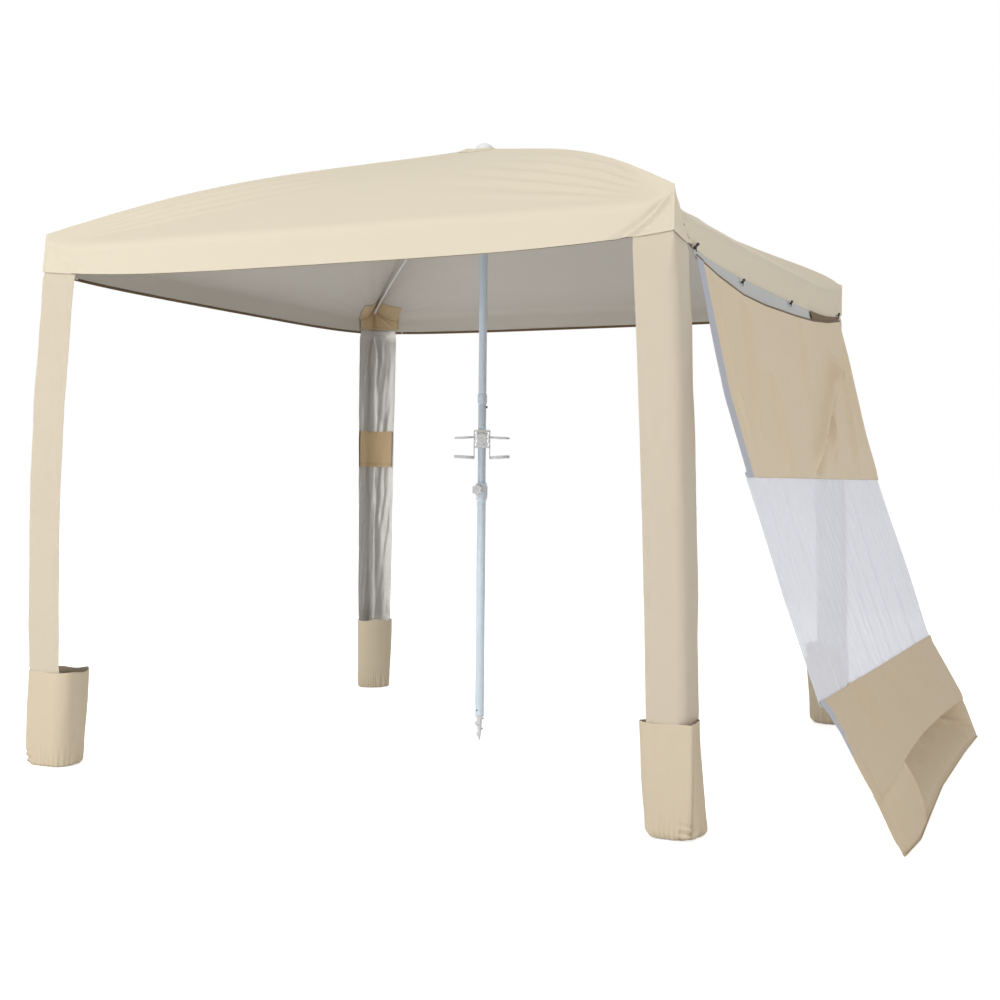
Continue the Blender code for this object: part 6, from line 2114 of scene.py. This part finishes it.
@dataclass
class Toggles:
    """The four toggles that hold the side wall on the valance.

    Attributes:
        wall: The side wall.
        shifts: How far each one has slid along the wall and down, by its node.
        lengths: Length of each bar.
    """

    wall: SideWall
    shifts: dict[str, tuple[float, float]] = field(default_factory=lambda: {
        "wall_toggle_1": (-0.022, 0.0), "wall_toggle_2": (-0.026, -0.016), "wall_toggle_3": (-0.022, -0.008),
        "wall_toggle_4": (0.0, 0.0)})
    lengths: tuple[float, ...] = (0.034, 0.022, 0.022, 0.020)
    radius: float = 0.0044
    tilt: float = math.radians(27)
    stand: float = 0.0075
    strap: tuple[float, float, float] = (0.0013, 0.0048, 0.014)

    def build(self) -> list[bpy.types.Object]:
        """A waisted bar on a strap for each node."""
        made = []
        for (node, (along, down)), length in zip(self.shifts.items(), self.lengths):
            low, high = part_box(node)
            y, z = (low.y + high.y) / 2 + along, high.z - self.radius + down
            r, half = self.radius, length / 2
            upper = [(0.78 * r, 0.25 * half), (r, half - 0.2 * half), (0.92 * r, half - 0.05 * half),
                     (0.55 * r, half)]
            lower = [(wide, -along_bar) for wide, along_bar in upper[::-1]]
            bar = Shaping(f"{node}_bar").turned([*lower, (0.72 * r, 0.0), *upper], 28)
            bar.move(Matrix.Rotation(self.tilt - math.pi / 2, 4, "X"))
            thick, width, drop = self.strap
            strap = Shaping(f"{node}_strap").block((-thick / 2, -width / 2, -drop), (thick / 2, width / 2, 0.0))
            with strap.picked(lambda place, way: way.z > 0.99):
                bpy.ops.mesh.extrude_region_move(TRANSFORM_OT_translate={"value": (0.0, 0.0, 0.6 * r)})
                bpy.ops.transform.resize(value=(1.6, 0.7, 1.0), center_override=(0.0, 0.0, 0.0))
            strap.soften(0.0003)
            bar.join([strap]).move(Matrix.Translation(self.wall.surface(y, z, self.stand)))
            made.append(bar.settle(node, Finish.BLACK_PLASTIC))
        return made


@dataclass
class Fittings:
    """The rigid pieces that keep their plain form, each with its finish."""

    looks: dict[str, Finish] = field(default_factory=lambda: {
        "joint_plug": Finish.STEEL, "lock_spring": Finish.STEEL, "wall_toggle": Finish.BLACK_PLASTIC,
        "rib_tip": Finish.WHITE_PLASTIC, "rib": Finish.WHITE_ROD, "strut": Finish.WHITE_ROD})

    def dress(self) -> None:
        """Give every fitting its finish."""
        for name, node in frame["nodes"].items():
            finish = Finish.WHITE_PLASTIC
            for start in sorted(self.looks, key=len):
                if name.startswith(start):
                    finish = self.looks[start]
            node.data.materials.clear()
            node.data.materials.append(finish.look())
            LOG.info("fitting %s: %s", name, finish.value.name)


# ---------------------------------------------------------------- studio


@dataclass(frozen=True)
class Lamp:
    """A square soft lamp.

    Attributes:
        name: The lamp's name.
        place: Where it stands.
        aim: The point that it faces.
        size: Side of its square.
        power: Watts.
        colour: Colour of its light.
    """

    name: str
    place: tuple[float, float, float]
    aim: tuple[float, float, float]
    size: float
    power: float
    colour: Colour = (1.0, 1.0, 1.0)

    def hang(self) -> None:
        """Put the lamp into the scene."""
        data = bpy.data.lights.new(self.name, "AREA")
        data.shape = "SQUARE"
        data.size = self.size
        data.energy = self.power
        data.color = self.colour
        lamp = bpy.data.objects.new(self.name, data)
        bpy.context.scene.collection.objects.link(lamp)
        turn = (Vector(self.aim) - Vector(self.place)).to_track_quat("-Z", "Y").to_matrix().to_4x4()
        lamp.matrix_world = Matrix.Translation(self.place) @ turn


@dataclass
class Studio:
    """Camera, lamps, floor and background."""

    place: tuple[float, float, float] = (2.1264, -4.4407, 0.8854)
    yaw: float = 0.4338
    pitch: float = -0.0135
    roll: float = 0.0094
    lens: float = 52.27
    sensor: float = 36.0
    paper: Colour = (0.96, 0.96, 0.96)
    paper_glow: float = 0.55
    floor_reach: float = 40.0
    floor_drop: float = 0.0005
    sky: Colour = (0.58, 0.58, 0.60)
    lamps: tuple[Lamp, ...] = (
        Lamp("key_lamp", (-1.5, -5.2, 6.3), (0.0, 0.0, 1.0), 3.2, 205.0),
        Lamp("front_lamp", (-0.6, -10.8, 0.6), (-0.3, 0.2, 1.0), 4.4, 215.0, (0.95, 0.98, 1.0)),
        Lamp("ceiling_lamp", (-2.9, -2.6, 0.12), (-0.6, 0.1, 1.75), 1.5, 22.0, (1.0, 0.97, 0.92)),
        Lamp("side_lamp", (6.0, -2.4, 2.2), (1.0, 0.2, 0.9), 1.8, 52.0),
        Lamp("back_lamp", (-1.0, 4.8, 3.2), (0.0, 0.6, 1.0), 3.0, 55.0))

    def camera(self) -> None:
        """The camera of the picture."""
        data = bpy.data.cameras.new("picture_camera")
        data.lens = self.lens
        data.sensor_width = self.sensor
        camera = bpy.data.objects.new("picture_camera", data)
        bpy.context.scene.collection.objects.link(camera)
        forward = Vector((-math.sin(self.yaw) * math.cos(self.pitch), math.cos(self.yaw) * math.cos(self.pitch),
                          math.sin(self.pitch)))
        right = Vector((math.cos(self.yaw), math.sin(self.yaw), 0.0))
        up = right.cross(forward)
        side = right * math.cos(self.roll) + up * math.sin(self.roll)
        top = up * math.cos(self.roll) - right * math.sin(self.roll)
        turn = Matrix((side, top, -forward)).transposed().to_4x4()
        camera.matrix_world = Matrix.Translation(self.place) @ turn
        bpy.context.scene.camera = camera

    def world(self) -> None:
        """Plain light from all round that shows as white behind the tent."""
        world = bpy.data.worlds.new("studio_world")
        bpy.context.scene.world = world
        world.use_nodes = True
        wiring = Wiring(world.node_tree)
        back = world.node_tree.nodes["Background"]
        path = wiring.add("ShaderNodeLightPath")
        seen = wiring.sum("ADD", path.outputs["Is Camera Ray"], path.outputs["Is Glossy Ray"], True)
        seen = wiring.sum("ADD", seen, path.outputs["Is Transmission Ray"], True)
        wiring.join(wiring.mix(seen, (*self.sky, 1.0), (1.0, 1.0, 1.0, 1.0)), back.inputs["Color"])
        back.inputs["Strength"].default_value = 1.0

    def floor(self) -> None:
        """A pale floor that keeps the tent's shadow."""
        mesh = bpy.data.meshes.new("studio_floor")
        far = self.floor_reach
        mesh.from_pydata([(-far, -far, 0.0), (far, -far, 0.0), (far, far, 0.0), (-far, far, 0.0)], [], [(0, 1, 2, 3)])
        obj = bpy.data.objects.new("studio_floor", mesh)
        obj.location.z = -self.floor_drop
        bpy.context.scene.collection.objects.link(obj)
        look = bpy.data.materials.new("studio_paper")
        look.use_nodes = True
        wiring = Wiring(look.node_tree)
        shader = look.node_tree.nodes["Principled BSDF"]
        path = wiring.add("ShaderNodeLightPath")
        values = {"Base Color": (*self.paper, 1.0), "Roughness": 0.95, "Specular IOR Level": 0.0,
                  "Emission Color": (1.0, 1.0, 1.0, 1.0),
                  "Emission Strength": wiring.sum("MULTIPLY", path.outputs["Is Camera Ray"], self.paper_glow)}
        for name, value in values.items():
            wiring.join(value, shader.inputs[name])
        mesh.materials.append(look)

    def build(self) -> None:
        """Set up the whole studio."""
        bpy.context.scene.view_settings.view_transform = "Standard"
        self.camera()
        self.world()
        self.floor()
        for lamp in self.lamps:
            lamp.hang()


def main() -> None:
    """Build, dress and light the tent."""
    logging.basicConfig(level=logging.INFO, format="%(message)s")
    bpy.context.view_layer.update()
    Fittings().dress()
    canopy = Canopy()
    legs = Legs(canopy)
    wall = SideWall(canopy)
    for assembly in (Pole(), HeightClamp(), CupHolder(), SandAnchor(), canopy, legs, SandPockets(legs), wall,
                     Toggles(wall)):
        for piece in assembly.build():
            LOG.info("%s: %s with %d faces", type(assembly).__name__, piece.name, len(piece.data.polygons))
    Studio().build()


if __name__ == "__main__":
    main()
